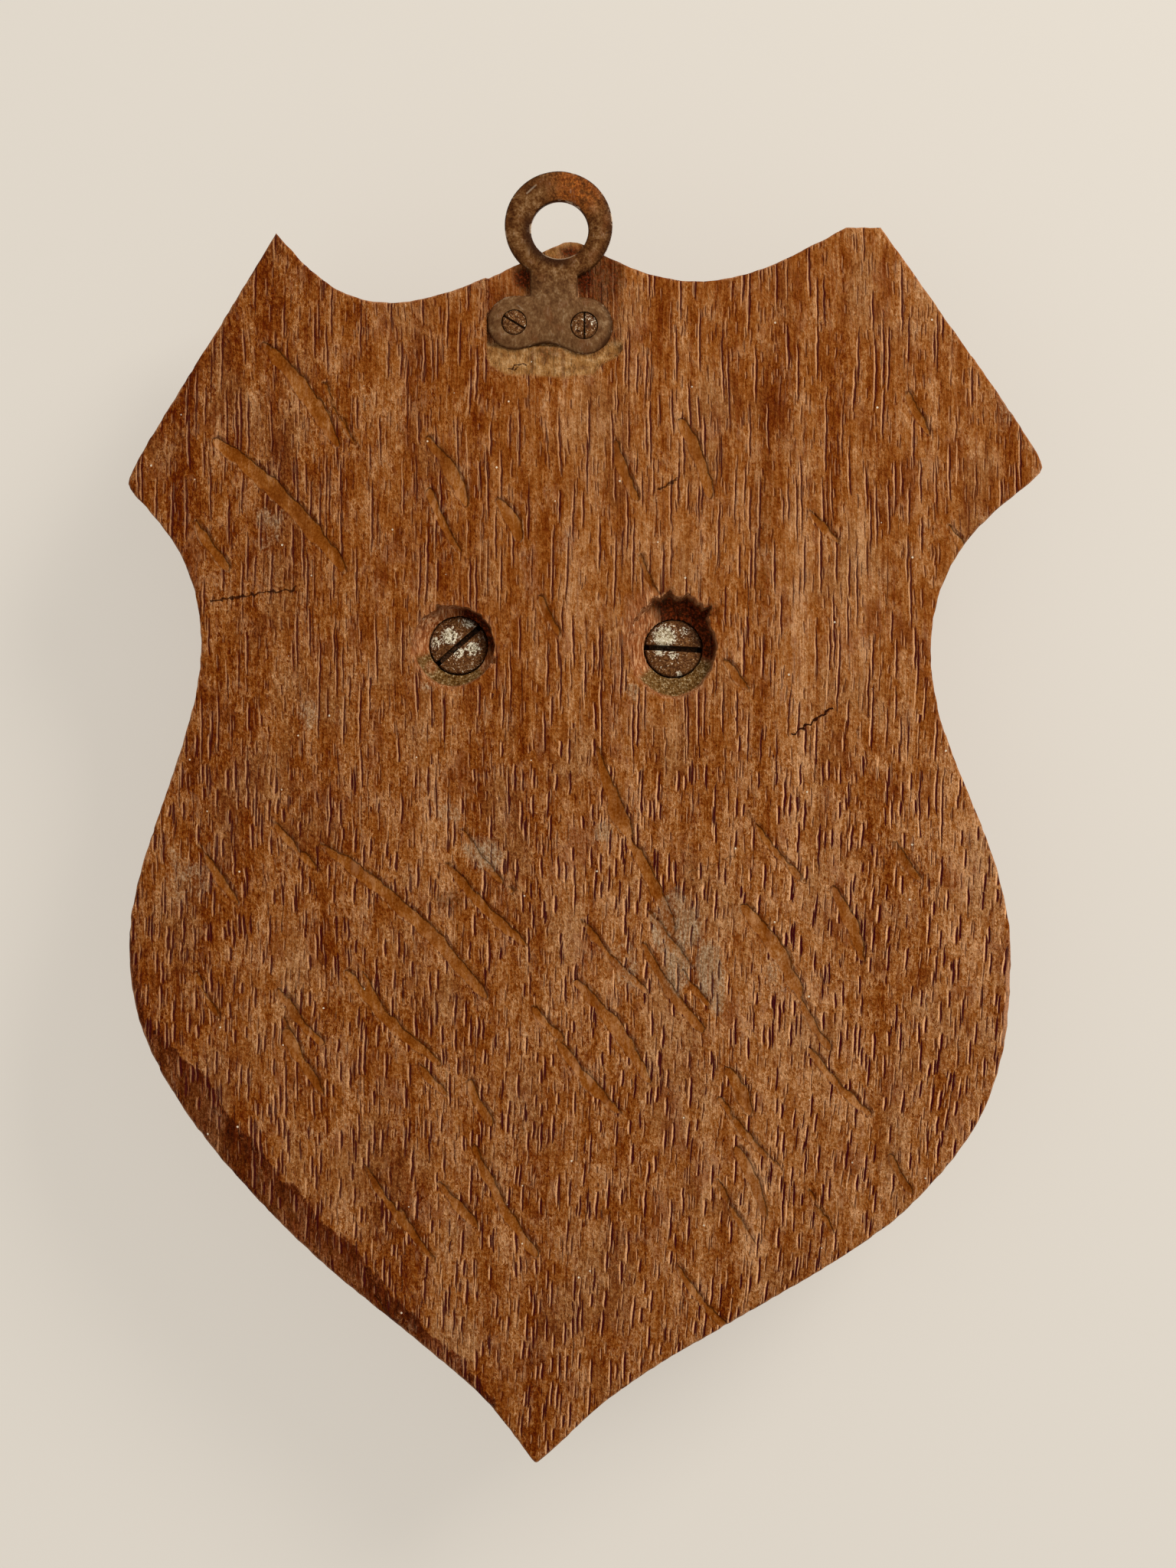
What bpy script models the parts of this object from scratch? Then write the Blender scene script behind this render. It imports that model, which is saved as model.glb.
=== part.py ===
"""Antler mounting plaque: a hand-cut oak shield with a stamped steel hanger let into its back and the two long
screws that fix antlers to its front.

Metres, +Z up, as the plaque hangs: the wall is the plane y = 0 behind it and its front faces -Y. The origin is the
centre of the hanging eye, in the plane of the wall. Left and right are as seen from the back, where the outline,
the hanger and the screw heads are, so right is towards -X.
"""

import math

import bmesh
import bpy
import numpy as np
from mathutils import Matrix, Vector
from mathutils.geometry import interpolate_bezier

# Board
BOARD_THICKNESS = 0.019
FRONT_BEVEL_WIDTH = 0.0065
FRONT_BEVEL_DEPTH = 0.0045
BACK_ARRIS = 0.0004

# The shield's outline: reaches to the left or right of the eye's centre, and drops below it
PEAK_OFFSET = 0.0020
PEAK_DROP = 0.0019
SCALLOP_REACH_LEFT = 0.0322
SCALLOP_REACH_RIGHT = 0.0272
SCALLOP_DROP_LEFT = 0.0139
SCALLOP_DROP_RIGHT = 0.0098
EAR_REACH_LEFT = 0.0538
EAR_REACH_RIGHT = 0.0543
EAR_DROP_LEFT = 0.0007
EAR_RISE_RIGHT = 0.0004
EAR_BLUNT_WIDTH = 0.0067
SHOULDER_REACH_LEFT = 0.0819
SHOULDER_REACH_RIGHT = 0.0917
SHOULDER_DROP_LEFT = 0.0483
SHOULDER_DROP_RIGHT = 0.0452
WAIST_REACH_LEFT = 0.0680
WAIST_REACH_RIGHT = 0.0704
WAIST_DROP_LEFT = 0.0785
WAIST_DROP_RIGHT = 0.0800
BELLY_REACH_LEFT = 0.0817
BELLY_REACH_RIGHT = 0.0857
BELLY_DROP_LEFT = 0.1348
BELLY_DROP_RIGHT = 0.1380
HIP_REACH_LEFT = 0.0583
HIP_REACH_RIGHT = 0.0653
HIP_DROP_LEFT = 0.1830
HIP_DROP_RIGHT = 0.1865
FOOT_REACH_LEFT = 0.0162
FOOT_REACH_RIGHT = 0.0118
FOOT_DROP = 0.2201
TIP_OFFSET = -0.0044
TIP_DROP = 0.2341

# Hanger plate: a ring, a neck and two screw lobes, stamped from one sheet
PLATE_THICKNESS = 0.0015
PLATE_SINK = 0.0002
PLATE_ARRIS = 0.00015
EYE_RADIUS = 0.00545
RING_RADIUS = 0.01025
RING_OFFSET = -0.0002
RING_RISE = 0.0009
NECK_WIDTH = 0.0090
NECK_OFFSET = -0.0011
LOBE_RADIUS_LEFT = 0.0051
LOBE_RADIUS_RIGHT = 0.0054
LOBE_REACH_LEFT = 0.0086
LOBE_REACH_RIGHT = 0.0047
LOBE_DROP_LEFT = 0.0176
LOBE_DROP_RIGHT = 0.0182
BRIDGE_OFFSET = -0.0025
BRIDGE_RISE = 0.0013

# Mortise for the plate, open at the board's top edge, with the gouge's run-out below the lobes
MORTISE_MARGIN_RIGHT = 0.0021
MORTISE_RUN_OUT = 0.0044
GOUGE_RADIUS = 0.0062
GOUGE_DEPTH = 0.0017

# The two small screws that hold the plate
SMALL_HEAD_RADIUS_LEFT = 0.0024
SMALL_HEAD_RADIUS_RIGHT = 0.0026
SMALL_SHANK_RADIUS = 0.0012
SMALL_LENGTH = 0.0127
SMALL_POINT = 0.0030
SMALL_RIM = 0.00015
SMALL_CROWN = 0.0001
SMALL_SLOT_WIDTH = 0.0005
SMALL_SLOT_DEPTH = 0.0006
SMALL_SLOT_TURN_LEFT = -31.0
SMALL_SLOT_TURN_RIGHT = 90.0

# The two antler screws, sunk in wells in the back, with their points standing out of the front
ANTLER_REACH_LEFT = 0.0193
ANTLER_REACH_RIGHT = 0.0217
ANTLER_DROP_LEFT = 0.0788
ANTLER_DROP_RIGHT = 0.0794
ANTLER_HEAD_RADIUS = 0.0055
ANTLER_SHANK_RADIUS = 0.00275
ANTLER_LENGTH = 0.032
ANTLER_POINT = 0.0090
ANTLER_RIM = 0.0004
ANTLER_CROWN = 0.0007
ANTLER_SLOT_WIDTH = 0.0014
ANTLER_SLOT_DEPTH = 0.0019
ANTLER_SLOT_TURN_LEFT = 41.0
ANTLER_SLOT_TURN_RIGHT = -3.0
HEAD_DEPTH = 0.0032
WELL_RADIUS_LEFT = 0.0079
WELL_RADIUS_RIGHT = 0.0086
WELL_STRETCH_LEFT = 1.0
WELL_STRETCH_RIGHT = 1.14
WELL_SHIFT_LEFT = (-0.0009, -0.0003)
WELL_SHIFT_RIGHT = (-0.0003, 0.0004)

# Room between neighbouring pieces, and how far cutters run past the wood
GAP = 0.0003
OVERRUN = 0.002

# Fineness of curves
SPAN_STEPS = 11
LOBE_STEPS = 20
BRIDGE_STEPS = 6
RING_STEPS = 64
TURN_STEPS = 40
SMALL_STEPS = 28


def remove_everything():
    for item in list(bpy.data.objects):
        bpy.data.objects.remove(item, do_unlink=True)


def new_collection(name):
    collection = bpy.data.collections.new(name)
    bpy.context.scene.collection.children.link(collection)
    return collection


def new_material(name, colour, roughness, metallic):
    material = bpy.data.materials.new(name)
    material.use_nodes = True
    shader = material.node_tree.nodes["Principled BSDF"]
    shader.inputs["Base Color"].default_value = (*colour, 1.0)
    shader.inputs["Roughness"].default_value = roughness
    shader.inputs["Metallic"].default_value = metallic
    return material


def new_object(name, shape, collection, material=None):
    if isinstance(shape, bmesh.types.BMesh):
        mesh = bpy.data.meshes.new(name)
        bmesh.ops.recalc_face_normals(shape, faces=shape.faces)
        shape.to_mesh(mesh)
        shape.free()
    else:
        mesh = shape
    item = bpy.data.objects.new(name, mesh)
    collection.objects.link(item)
    if material:
        mesh.materials.append(material)
    else:
        item.hide_render = True
        item.display_type = "WIRE"
    return item


def cut(item, cutter):
    boolean = item.modifiers.new(cutter.name, "BOOLEAN")
    boolean.object = cutter
    boolean.operation = "DIFFERENCE"
    boolean.solver = "EXACT"


def seen_from_back(reach, height, depth=0.0):
    """A point that lies reach to the right of the eye as seen from the back, height above it, depth in the wood."""
    return Vector((-reach, -depth, height))


def curve(start, end, leaving, arriving, share_out, share_in, steps=SPAN_STEPS):
    """Points along one cubic span, without its end.

    Headings are in degrees, 0 to the right and 90 up, and a share is how far the curve keeps a heading, as a share
    of the span's chord.
    """
    start, end = Vector(start), Vector(end)
    chord = (end - start).length
    leaving, arriving = math.radians(leaving), math.radians(arriving)
    first_handle = start + Vector((math.cos(leaving), math.sin(leaving))) * chord * share_out
    last_handle = end - Vector((math.cos(arriving), math.sin(arriving))) * chord * share_in
    return [tuple(point[:2]) for point in interpolate_bezier(start, first_handle, last_handle, end, steps + 1)[:-1]]


def closed_curve(nodes):
    """Points along a closed chain of spans: each node is (right, height, heading in, heading out, share in, out)."""
    points = []
    for start, end in zip(nodes, nodes[1:] + nodes[:1]):
        points += curve(start[:2], end[:2], start[3], end[2], start[5], end[4])
    return points


def shield_outline():
    """The outline clockwise from the peak behind the hanging eye, as seen from the back."""
    ear_right = EAR_REACH_RIGHT + EAR_BLUNT_WIDTH
    return closed_curve([
        (PEAK_OFFSET, -PEAK_DROP, 0, 0, 0.10, 0.20),
        (SCALLOP_REACH_RIGHT, -SCALLOP_DROP_RIGHT, 0, 0, 0.60, 0.34),
        (EAR_REACH_RIGHT, EAR_RISE_RIGHT, 27, 0, 0.21, 0.30),
        (ear_right, EAR_RISE_RIGHT, 0, -55, 0.30, 0.55),
        (SHOULDER_REACH_RIGHT, -SHOULDER_DROP_RIGHT, -90, -90, 0.055, 0.095),
        (WAIST_REACH_RIGHT, -WAIST_DROP_RIGHT, -90, -90, 0.59, 0.33),
        (BELLY_REACH_RIGHT, -BELLY_DROP_RIGHT, -90, -90, 0.37, 0.49),
        (HIP_REACH_RIGHT, -HIP_DROP_RIGHT, -136, -136, 0.36, 0.20),
        (FOOT_REACH_RIGHT, -FOOT_DROP, -145, -145, 0.30, 0.45),
        (TIP_OFFSET, -TIP_DROP, 180, 180, 0.06, 0.06),
        (-FOOT_REACH_LEFT, -FOOT_DROP, 138, 138, 0.45, 0.40),
        (-HIP_REACH_LEFT, -HIP_DROP_LEFT, 133, 133, 0.45, 0.62),
        (-BELLY_REACH_LEFT, -BELLY_DROP_LEFT, 90, 90, 0.20, 0.27),
        (-WAIST_REACH_LEFT, -WAIST_DROP_LEFT, 90, 90, 0.31, 0.60),
        (-SHOULDER_REACH_LEFT, -SHOULDER_DROP_LEFT, 90, 90, 0.09, 0.06),
        (-EAR_REACH_LEFT, -EAR_DROP_LEFT, 59, -46, 0.66, 0.25),
        (-SCALLOP_REACH_LEFT, -SCALLOP_DROP_LEFT, 0, 0, 0.45, 0.375),
    ])


def inset(points, distance):
    """The outline moved inwards, and for each of its points the index of its partner on the moved outline.

    Where the outline turns more tightly than the distance, several points share a partner, as at a mitre.
    """
    points = np.array(points)
    edges = np.roll(points, -1, axis=0) - points
    edges /= np.linalg.norm(edges, axis=1)[:, None]
    inward = np.column_stack((edges[:, 1], -edges[:, 0]))
    before = np.roll(inward, 1, axis=0)
    bisector = inward + before
    bisector /= np.linalg.norm(bisector, axis=1)[:, None]
    moved = points + bisector * (distance / (bisector * inward).sum(axis=1))[:, None]
    ends = np.roll(points, -1, axis=0)
    along = ends - points
    away = moved[:, None] - points[None]
    share = np.clip((away * along).sum(axis=2) / (along * along).sum(axis=1), 0, 1)
    nearest = np.linalg.norm(away - share[:, :, None] * along, axis=2).min(axis=1)
    kept = np.flatnonzero(nearest > 0.995 * distance)
    count = len(points)
    steps = np.abs(np.arange(count)[:, None] - kept[None])
    partner = np.minimum(steps, count - steps).argmin(axis=1)
    return moved[kept], partner


def add_ring(bm, points, depth):
    return [bm.verts.new(seen_from_back(*point, depth)) for point in points]


def bridge(bm, outer, inner, partner):
    """A band of faces between an outline and its inset."""
    count = len(outer)
    for here in range(count):
        there = (here + 1) % count
        corners = [outer[here], outer[there], inner[partner[there]], inner[partner[here]]]
        if corners[2] == corners[3]:
            corners.pop()
        bm.faces.new(corners)


def board_body():
    outline = shield_outline()
    back, back_partner = inset(outline, BACK_ARRIS)
    front, front_partner = inset(outline, FRONT_BEVEL_WIDTH)
    bm = bmesh.new()
    back_ring = add_ring(bm, back, 0)
    upper_ring = add_ring(bm, outline, BACK_ARRIS)
    lower_ring = add_ring(bm, outline, BOARD_THICKNESS - FRONT_BEVEL_DEPTH)
    front_ring = add_ring(bm, front, BOARD_THICKNESS)
    bridge(bm, upper_ring, back_ring, back_partner)
    bridge(bm, upper_ring, lower_ring, range(len(outline)))
    bridge(bm, lower_ring, front_ring, front_partner)
    bm.faces.new(back_ring)
    bm.faces.new(front_ring)
    return bm


def arc(centre, radius, start, end, steps):
    """Points on an arc, from one heading to another in degrees, clockwise when end is less than start."""
    headings = np.radians(np.linspace(start, end, steps))
    return [(centre[0] + radius * math.cos(a), centre[1] + radius * math.sin(a)) for a in headings]


def crossing(centre, radius, right):
    """The heading, from 0 to 180 degrees, at which a circle reaches so far to the right."""
    return math.degrees(math.acos(max(-1.0, min(1.0, (right - centre[0]) / radius))))


def plate_outline():
    """The hanger's outline clockwise from where its ring meets the neck's left side, as seen from the back."""
    ring = (RING_OFFSET, RING_RISE)
    lobe_left = (-LOBE_REACH_LEFT, -LOBE_DROP_LEFT)
    lobe_right = (LOBE_REACH_RIGHT, -LOBE_DROP_RIGHT)
    neck_left = NECK_OFFSET - NECK_WIDTH / 2
    neck_right = NECK_OFFSET + NECK_WIDTH / 2
    top_right = min(90, crossing(lobe_right, LOBE_RADIUS_RIGHT, neck_right))
    top_left = max(90, crossing(lobe_left, LOBE_RADIUS_LEFT, neck_left))
    right_arc = arc(lobe_right, LOBE_RADIUS_RIGHT, top_right, -110, LOBE_STEPS)
    left_arc = arc(lobe_left, LOBE_RADIUS_LEFT, 280, top_left, LOBE_STEPS)
    crest = (BRIDGE_OFFSET, lobe_left[1] - LOBE_RADIUS_LEFT + BRIDGE_RISE)
    points = arc(ring, RING_RADIUS, 360 - crossing(ring, RING_RADIUS, neck_left),
                 -crossing(ring, RING_RADIUS, neck_right), RING_STEPS)
    points += [(neck_right, right_arc[0][1])]
    points += right_arc
    points += curve(right_arc[-1], crest, 160, 180, 0.35, 0.35, BRIDGE_STEPS)[1:]
    points += curve(crest, left_arc[0], 180, 190, 0.35, 0.35, BRIDGE_STEPS)
    points += left_arc
    points += [(neck_left, left_arc[-1][1])]
    return points


def extruded(points, near, far):
    bm = bmesh.new()
    back_ring = add_ring(bm, points, near)
    front_ring = add_ring(bm, points, far)
    bridge(bm, back_ring, front_ring, range(len(points)))
    bm.faces.new(back_ring)
    bm.faces.new(front_ring)
    return bm


def soften(item, width):
    bevel = item.modifiers.new("arris", "BEVEL")
    bevel.width = width
    bevel.segments = 1
    bevel.limit_method = "ANGLE"
    bevel.angle_limit = math.radians(50)


def turned(name, profile, place, collection, material=None, steps=TURN_STEPS):
    """A piece turned about the depth axis: its profile is (radius, depth) from the back end to the front end."""
    mesh = bpy.data.meshes.new(name)
    corners = [(radius, 0, -depth) for radius, depth in profile]
    mesh.from_pydata(corners, [(i, i + 1) for i in range(len(corners) - 1)], [])
    item = new_object(name, mesh, collection, material)
    item.location = place
    item.rotation_euler = (-math.pi / 2, 0, 0)
    screw = item.modifiers.new("turned", "SCREW")
    screw.steps = steps
    screw.render_steps = steps
    screw.use_merge_vertices = True
    screw.merge_threshold = 0.00001
    return item


def screw_profile(head, shank, rim, crown, length, point):
    """Countersunk head with a slightly domed top, plain shank and a long point, from the head's top to the tip."""
    crown_steps = 5
    dome = [
        (head * math.sin(math.pi / 2 * i / crown_steps), -crown * math.cos(math.pi / 2 * i / crown_steps))
        for i in range(crown_steps + 1)
    ]
    return dome + [
        (head, rim),
        (shank, rim + head - shank),
        (shank, length - point),
        (shank * 0.45, length - point * 0.22),
        (0, length),
    ]


def seat_profile(head, shank, rim, length):
    """The hole that a screw sits in, a gap wider than the screw all round, open above its head."""
    return [
        (0, -OVERRUN),
        (head + GAP, -OVERRUN),
        (head + GAP, rim + GAP),
        (shank + GAP, rim + GAP + head - shank),
        (shank + GAP, length + GAP),
        (0, length + GAP + shank),
    ]


def wood_screw(name, place, sizes, slot, parts, cutters, material, steps):
    """A slotted screw. The slot's turn is in degrees, from level and up to the right as seen from the back."""
    screw = turned(name, screw_profile(*sizes), place, parts, material, steps)
    head, crown = sizes[0], sizes[3]
    turn, width, depth = slot
    bm = bmesh.new()
    bmesh.ops.create_cube(bm, size=1)
    height = depth + crown + OVERRUN
    bmesh.ops.scale(bm, vec=(head * 2 + OVERRUN, height, width), verts=bm.verts)
    bmesh.ops.rotate(bm, matrix=Matrix.Rotation(math.radians(turn), 3, "Y"), verts=bm.verts)
    bmesh.ops.translate(bm, vec=place + Vector((0, height / 2 - depth, 0)), verts=bm.verts)
    cut(screw, new_object(name + "_slot", bm, cutters))


def well(name, centre, radius, shift, stretch, cutters):
    """A well that narrows from a wide mouth in the back, a little off the screw's axis, to the screw's head."""
    floor = HEAD_DEPTH + ANTLER_RIM
    floor_radius = ANTLER_HEAD_RADIUS + 2 * GAP
    bm = bmesh.new()
    bmesh.ops.create_cone(bm, cap_ends=True, segments=TURN_STEPS, radius1=1, radius2=1, depth=1)
    for vertex in bm.verts:
        depth = floor if vertex.co.z < 0 else -OVERRUN
        share = 1 - depth / floor
        spread = floor_radius + (radius - floor_radius) * share
        right = vertex.co.x * spread + shift[0] * share
        height = vertex.co.y * spread * (1 + (stretch - 1) * share) + shift[1] * share
        vertex.co = seen_from_back(centre[0] + right, centre[1] + height, depth)
    return new_object(name, bm, cutters)


def mortise(cutters, board):
    """The pocket for the hanger: flat under the plate, then three gouge cuts that run out to the surface."""
    depth = PLATE_SINK + PLATE_THICKNESS + GAP
    left = -LOBE_REACH_LEFT - LOBE_RADIUS_LEFT - GAP
    right = LOBE_REACH_RIGHT + LOBE_RADIUS_RIGHT + MORTISE_MARGIN_RIGHT
    low = -max(LOBE_DROP_LEFT + LOBE_RADIUS_LEFT, LOBE_DROP_RIGHT + LOBE_RADIUS_RIGHT) - GAP
    high = RING_RISE + RING_RADIUS
    pocket = extruded([(left, high), (right, high), (right, low), (left, low)], -OVERRUN, depth)
    cut(board, new_object("mortise_pocket", pocket, cutters))
    ball = (GOUGE_RADIUS ** 2 + GOUGE_DEPTH ** 2) / (2 * GOUGE_DEPTH)
    scoop_height = low - MORTISE_RUN_OUT + GOUGE_RADIUS
    for side, reach in (
        ("left", left + GOUGE_RADIUS),
        ("middle", (left + right) / 2),
        ("right", right - GOUGE_RADIUS),
    ):
        bm = bmesh.new()
        bmesh.ops.create_uvsphere(bm, u_segments=64, v_segments=48, radius=ball)
        bmesh.ops.translate(bm, vec=seen_from_back(reach, scoop_height, GOUGE_DEPTH - ball), verts=bm.verts)
        cut(board, new_object("gouge_" + side, bm, cutters))


def smooth(item):
    mesh = item.data
    mesh.shade_smooth()
    mesh.set_sharp_from_angle(angle=math.radians(35))


def main():
    remove_everything()
    parts = new_collection("antler_mounting_plaque")
    cutters = new_collection("cutters")
    oak = new_material("oak", (0.26, 0.105, 0.035), 0.55, 0.0)
    hanger_steel = new_material("hanger_steel", (0.17, 0.11, 0.07), 0.6, 0.7)
    screw_steel = new_material("screw_steel", (0.16, 0.11, 0.08), 0.5, 0.8)

    board = new_object("board", board_body(), parts, oak)
    mortise(cutters, board)

    plate = new_object("hanger_plate", extruded(plate_outline(), PLATE_SINK, PLATE_SINK + PLATE_THICKNESS), parts,
                       hanger_steel)
    eye = extruded(arc((0, 0), EYE_RADIUS, 0, -360, RING_STEPS)[:-1], -OVERRUN, PLATE_THICKNESS + OVERRUN)
    cut(plate, new_object("hanging_eye", eye, cutters))

    small_screws = (
        ("left", (-LOBE_REACH_LEFT, -LOBE_DROP_LEFT), SMALL_HEAD_RADIUS_LEFT, SMALL_SLOT_TURN_LEFT),
        ("right", (LOBE_REACH_RIGHT, -LOBE_DROP_RIGHT), SMALL_HEAD_RADIUS_RIGHT, SMALL_SLOT_TURN_RIGHT),
    )
    for side, centre, head, turn in small_screws:
        sizes = (head, SMALL_SHANK_RADIUS, SMALL_RIM, SMALL_CROWN, SMALL_LENGTH, SMALL_POINT)
        slot = (turn, SMALL_SLOT_WIDTH, SMALL_SLOT_DEPTH)
        place = seen_from_back(*centre, PLATE_SINK + SMALL_CROWN)
        wood_screw("hanger_screw_" + side, place, sizes, slot, parts, cutters, screw_steel, SMALL_STEPS)
        profile = seat_profile(head, SMALL_SHANK_RADIUS, SMALL_RIM, SMALL_LENGTH)
        seat = turned("hanger_seat_" + side, profile, place, cutters, steps=SMALL_STEPS)
        cut(plate, seat)
        cut(board, seat)
    soften(plate, PLATE_ARRIS)

    antler_screws = (
        ("left", (-ANTLER_REACH_LEFT, -ANTLER_DROP_LEFT), ANTLER_SLOT_TURN_LEFT,
         WELL_RADIUS_LEFT, WELL_SHIFT_LEFT, WELL_STRETCH_LEFT),
        ("right", (ANTLER_REACH_RIGHT, -ANTLER_DROP_RIGHT), ANTLER_SLOT_TURN_RIGHT,
         WELL_RADIUS_RIGHT, WELL_SHIFT_RIGHT, WELL_STRETCH_RIGHT),
    )
    for side, centre, turn, radius, shift, stretch in antler_screws:
        sizes = (ANTLER_HEAD_RADIUS, ANTLER_SHANK_RADIUS, ANTLER_RIM, ANTLER_CROWN, ANTLER_LENGTH, ANTLER_POINT)
        slot = (turn, ANTLER_SLOT_WIDTH, ANTLER_SLOT_DEPTH)
        place = seen_from_back(*centre, HEAD_DEPTH)
        wood_screw("antler_screw_" + side, place, sizes, slot, parts, cutters, screw_steel, TURN_STEPS)
        cut(board, well("well_" + side, centre, radius, shift, stretch, cutters))
        through = BOARD_THICKNESS - HEAD_DEPTH + OVERRUN
        profile = seat_profile(ANTLER_HEAD_RADIUS, ANTLER_SHANK_RADIUS, ANTLER_RIM, through)
        cut(board, turned("antler_seat_" + side, profile, place, cutters))

    for item in parts.objects:
        smooth(item)


main()
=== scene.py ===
import math

import bmesh
import bpy
import numpy as np
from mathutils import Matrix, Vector, kdtree
from mathutils.geometry import delaunay_2d_cdt


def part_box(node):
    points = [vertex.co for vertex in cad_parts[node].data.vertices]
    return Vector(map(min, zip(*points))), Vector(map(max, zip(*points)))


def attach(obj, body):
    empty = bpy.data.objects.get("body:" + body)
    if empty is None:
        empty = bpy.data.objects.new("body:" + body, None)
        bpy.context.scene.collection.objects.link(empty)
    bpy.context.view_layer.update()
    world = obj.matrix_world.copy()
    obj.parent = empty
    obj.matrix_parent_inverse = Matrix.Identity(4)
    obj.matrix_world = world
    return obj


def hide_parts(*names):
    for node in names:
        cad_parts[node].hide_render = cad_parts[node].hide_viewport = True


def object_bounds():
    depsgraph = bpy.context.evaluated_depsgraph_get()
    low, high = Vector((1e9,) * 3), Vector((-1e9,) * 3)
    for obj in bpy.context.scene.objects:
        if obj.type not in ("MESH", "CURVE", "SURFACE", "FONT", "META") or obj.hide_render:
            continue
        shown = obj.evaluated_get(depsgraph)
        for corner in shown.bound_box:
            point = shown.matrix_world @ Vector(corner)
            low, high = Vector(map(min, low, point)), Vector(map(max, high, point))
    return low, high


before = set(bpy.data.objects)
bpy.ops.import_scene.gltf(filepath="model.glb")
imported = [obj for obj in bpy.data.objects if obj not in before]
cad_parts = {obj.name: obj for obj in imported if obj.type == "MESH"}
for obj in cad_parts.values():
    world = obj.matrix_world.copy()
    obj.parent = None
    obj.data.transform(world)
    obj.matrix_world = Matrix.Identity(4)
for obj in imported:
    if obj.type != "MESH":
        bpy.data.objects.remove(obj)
CAD_BOX = [list(corner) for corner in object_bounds()]

# Sizes are in millimetres. A place on the board is (right, up) as seen from the back, from the centre of
# the eye, and a depth into the board.
MM = 0.001

# Photograph
PIXELS_PER_MM = 6.89
EYE_PIXEL = (730.9, 298.9)
CENTRE_PIXEL = (768.0, 1024.0)
FRAME_HEIGHT = 2048 / PIXELS_PER_MM
CAMERA_DISTANCE = 430.0

# Board
BOARD_THICKNESS = 19.0
BEVEL_WIDTH = 6.5
BEVEL_DEPTH = 4.5
ARRIS = 0.45
BACK_SINK = 0.16
LEAST_SINK = 0.01
FRONT_SINK = 0.03

# Mesh of the board: steps between its points, fine rings inside the rim, rows down its sides, rows up the
# walls of the mortise and a pair of rings at the inner edge of the bevel
RIM_STEP = 0.5
BACK_STEP = 0.77
FRONT_STEP = 1.7
RIM_RINGS = (0.2, 0.45)
RIM_CLEAR = 0.75
SIDE_ROWS = 9
WALL_HEIGHTS = np.arange(-22.0, -1.0, 0.5)
WALL_ROWS = (-0.12, 0.12, 0.3)
CREASE = 0.12

# Values that say that no fleck, rim or stain is near
NO_FLECK = 3.0
FAR = 9.0

# Wells of the large screws
SHANK_HOLE = 3.05
WELL_GAP = 0.10
WELL_BOTTOM = 0.15
PIT_DEPTH = 3.2
WELL_FIELD = 13.0
WELL_REACH = 11.5
WELL_RAYS = 170
WELL_RINGS = 30
HOLE_SIDES = 48

# Mortise
MORTISE_LEFT = -14.0
MORTISE_RIGHT = 12.2
MORTISE_FLOOR = 2.0
MORTISE_LOW = -23.4
MORTISE_WALL = 0.22
MORTISE_SLOPE = 5.4
MORTISE_FIELD = -32.0

# Fine mesh around the foot of the mortise
FOOT_STEP = 0.33
FOOT_MIDDLE = ((MORTISE_LEFT + MORTISE_RIGHT) / 2, -25.6)
FOOT_HALF = (14.0, 3.3)

# Where the chiselled run-out of the mortise ends: right, up
MORTISE_END = [(-14.2, -23.5), (-13.2, -26.0), (-10.3, -27.6), (-4.5, -27.8), (0.6, -28.2), (6.4, -27.7),
               (8.1, -25.9), (11.0, -24.1), (12.2, -22.0)]

# Hanger plate
PLATE_SINK = 0.2
PLATE_THICKNESS = 1.5
PLATE_STEP = 0.36
PLATE_ROLL = 0.42
PLATE_RINGS = (0.06, 0.16, 0.3)
PLATE_CLEAR = 0.42
DISH_WIDTH = 2.1
DISH_DEPTH = 0.36

# Wood screws: shares of the head's radius, the slope of the cone below the head, the plain share of the
# length, the point and the thread's core as shares of the shank's radius, and the fineness of the mesh
CROWN = 0.13
EDGE_LAND = 0.07
LIP = 0.024
CONE_SLOPE = 1.05
PLAIN_SHARE = 0.36
POINT_LENGTH = 3.1
THREAD_CORE = 0.72
HEAD_SIDES = 110
ARC_POINTS = 46
GRID_STEPS = 26
TURN_ROWS = 14


def pixel(px, py):
    """(right, up) of a point of the photograph."""
    return (px - EYE_PIXEL[0]) / PIXELS_PER_MM, (EYE_PIXEL[1] - py) / PIXELS_PER_MM


def at(points, depth):
    """Scene positions, in metres, of (right, up) points at their depths."""
    depth = np.broadcast_to(depth, len(points))
    return np.column_stack((-points[:, 0], -depth, points[:, 1])) * MM


def lengths(vectors):
    return np.linalg.norm(vectors, axis=1)


def radius_of(node):
    low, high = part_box(node)
    return (high[0] - low[0]) / 2 / MM


def centre_of(node):
    """(right, up) of a node's middle, and the depths of its nearest and farthest points."""
    low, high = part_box(node)
    middle = -(low[0] + high[0]) / 2 / MM, (low[2] + high[2]) / 2 / MM
    return middle, -high[1] / MM, -low[1] / MM


def smooth(low, high, value):
    """A share that goes softly from 0 to 1 as the value goes from low to high."""
    share = np.clip((value - low) / (high - low), 0, 1)
    return share * share * (3 - 2 * share)


def noise(right, up, size_right, size_up, seed):
    """Smooth random values from -1 to 1 that change over the given lengths."""
    values = np.random.default_rng(seed).uniform(-1, 1, (512, 512))
    a = np.asarray(right) / size_right + 200.0
    b = np.asarray(up) / size_up + 300.0
    i, j = np.floor(a).astype(int), np.floor(b).astype(int)
    s, t = a - i, b - j
    s, t = s * s * (3 - 2 * s), t * t * (3 - 2 * t)
    corner = [values[(i + p) % 512, (j + q) % 512] for p in (0, 1) for q in (0, 1)]
    near = corner[0] * (1 - t) + corner[1] * t
    far = corner[2] * (1 - t) + corner[3] * t
    return near * (1 - s) + far * s


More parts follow.
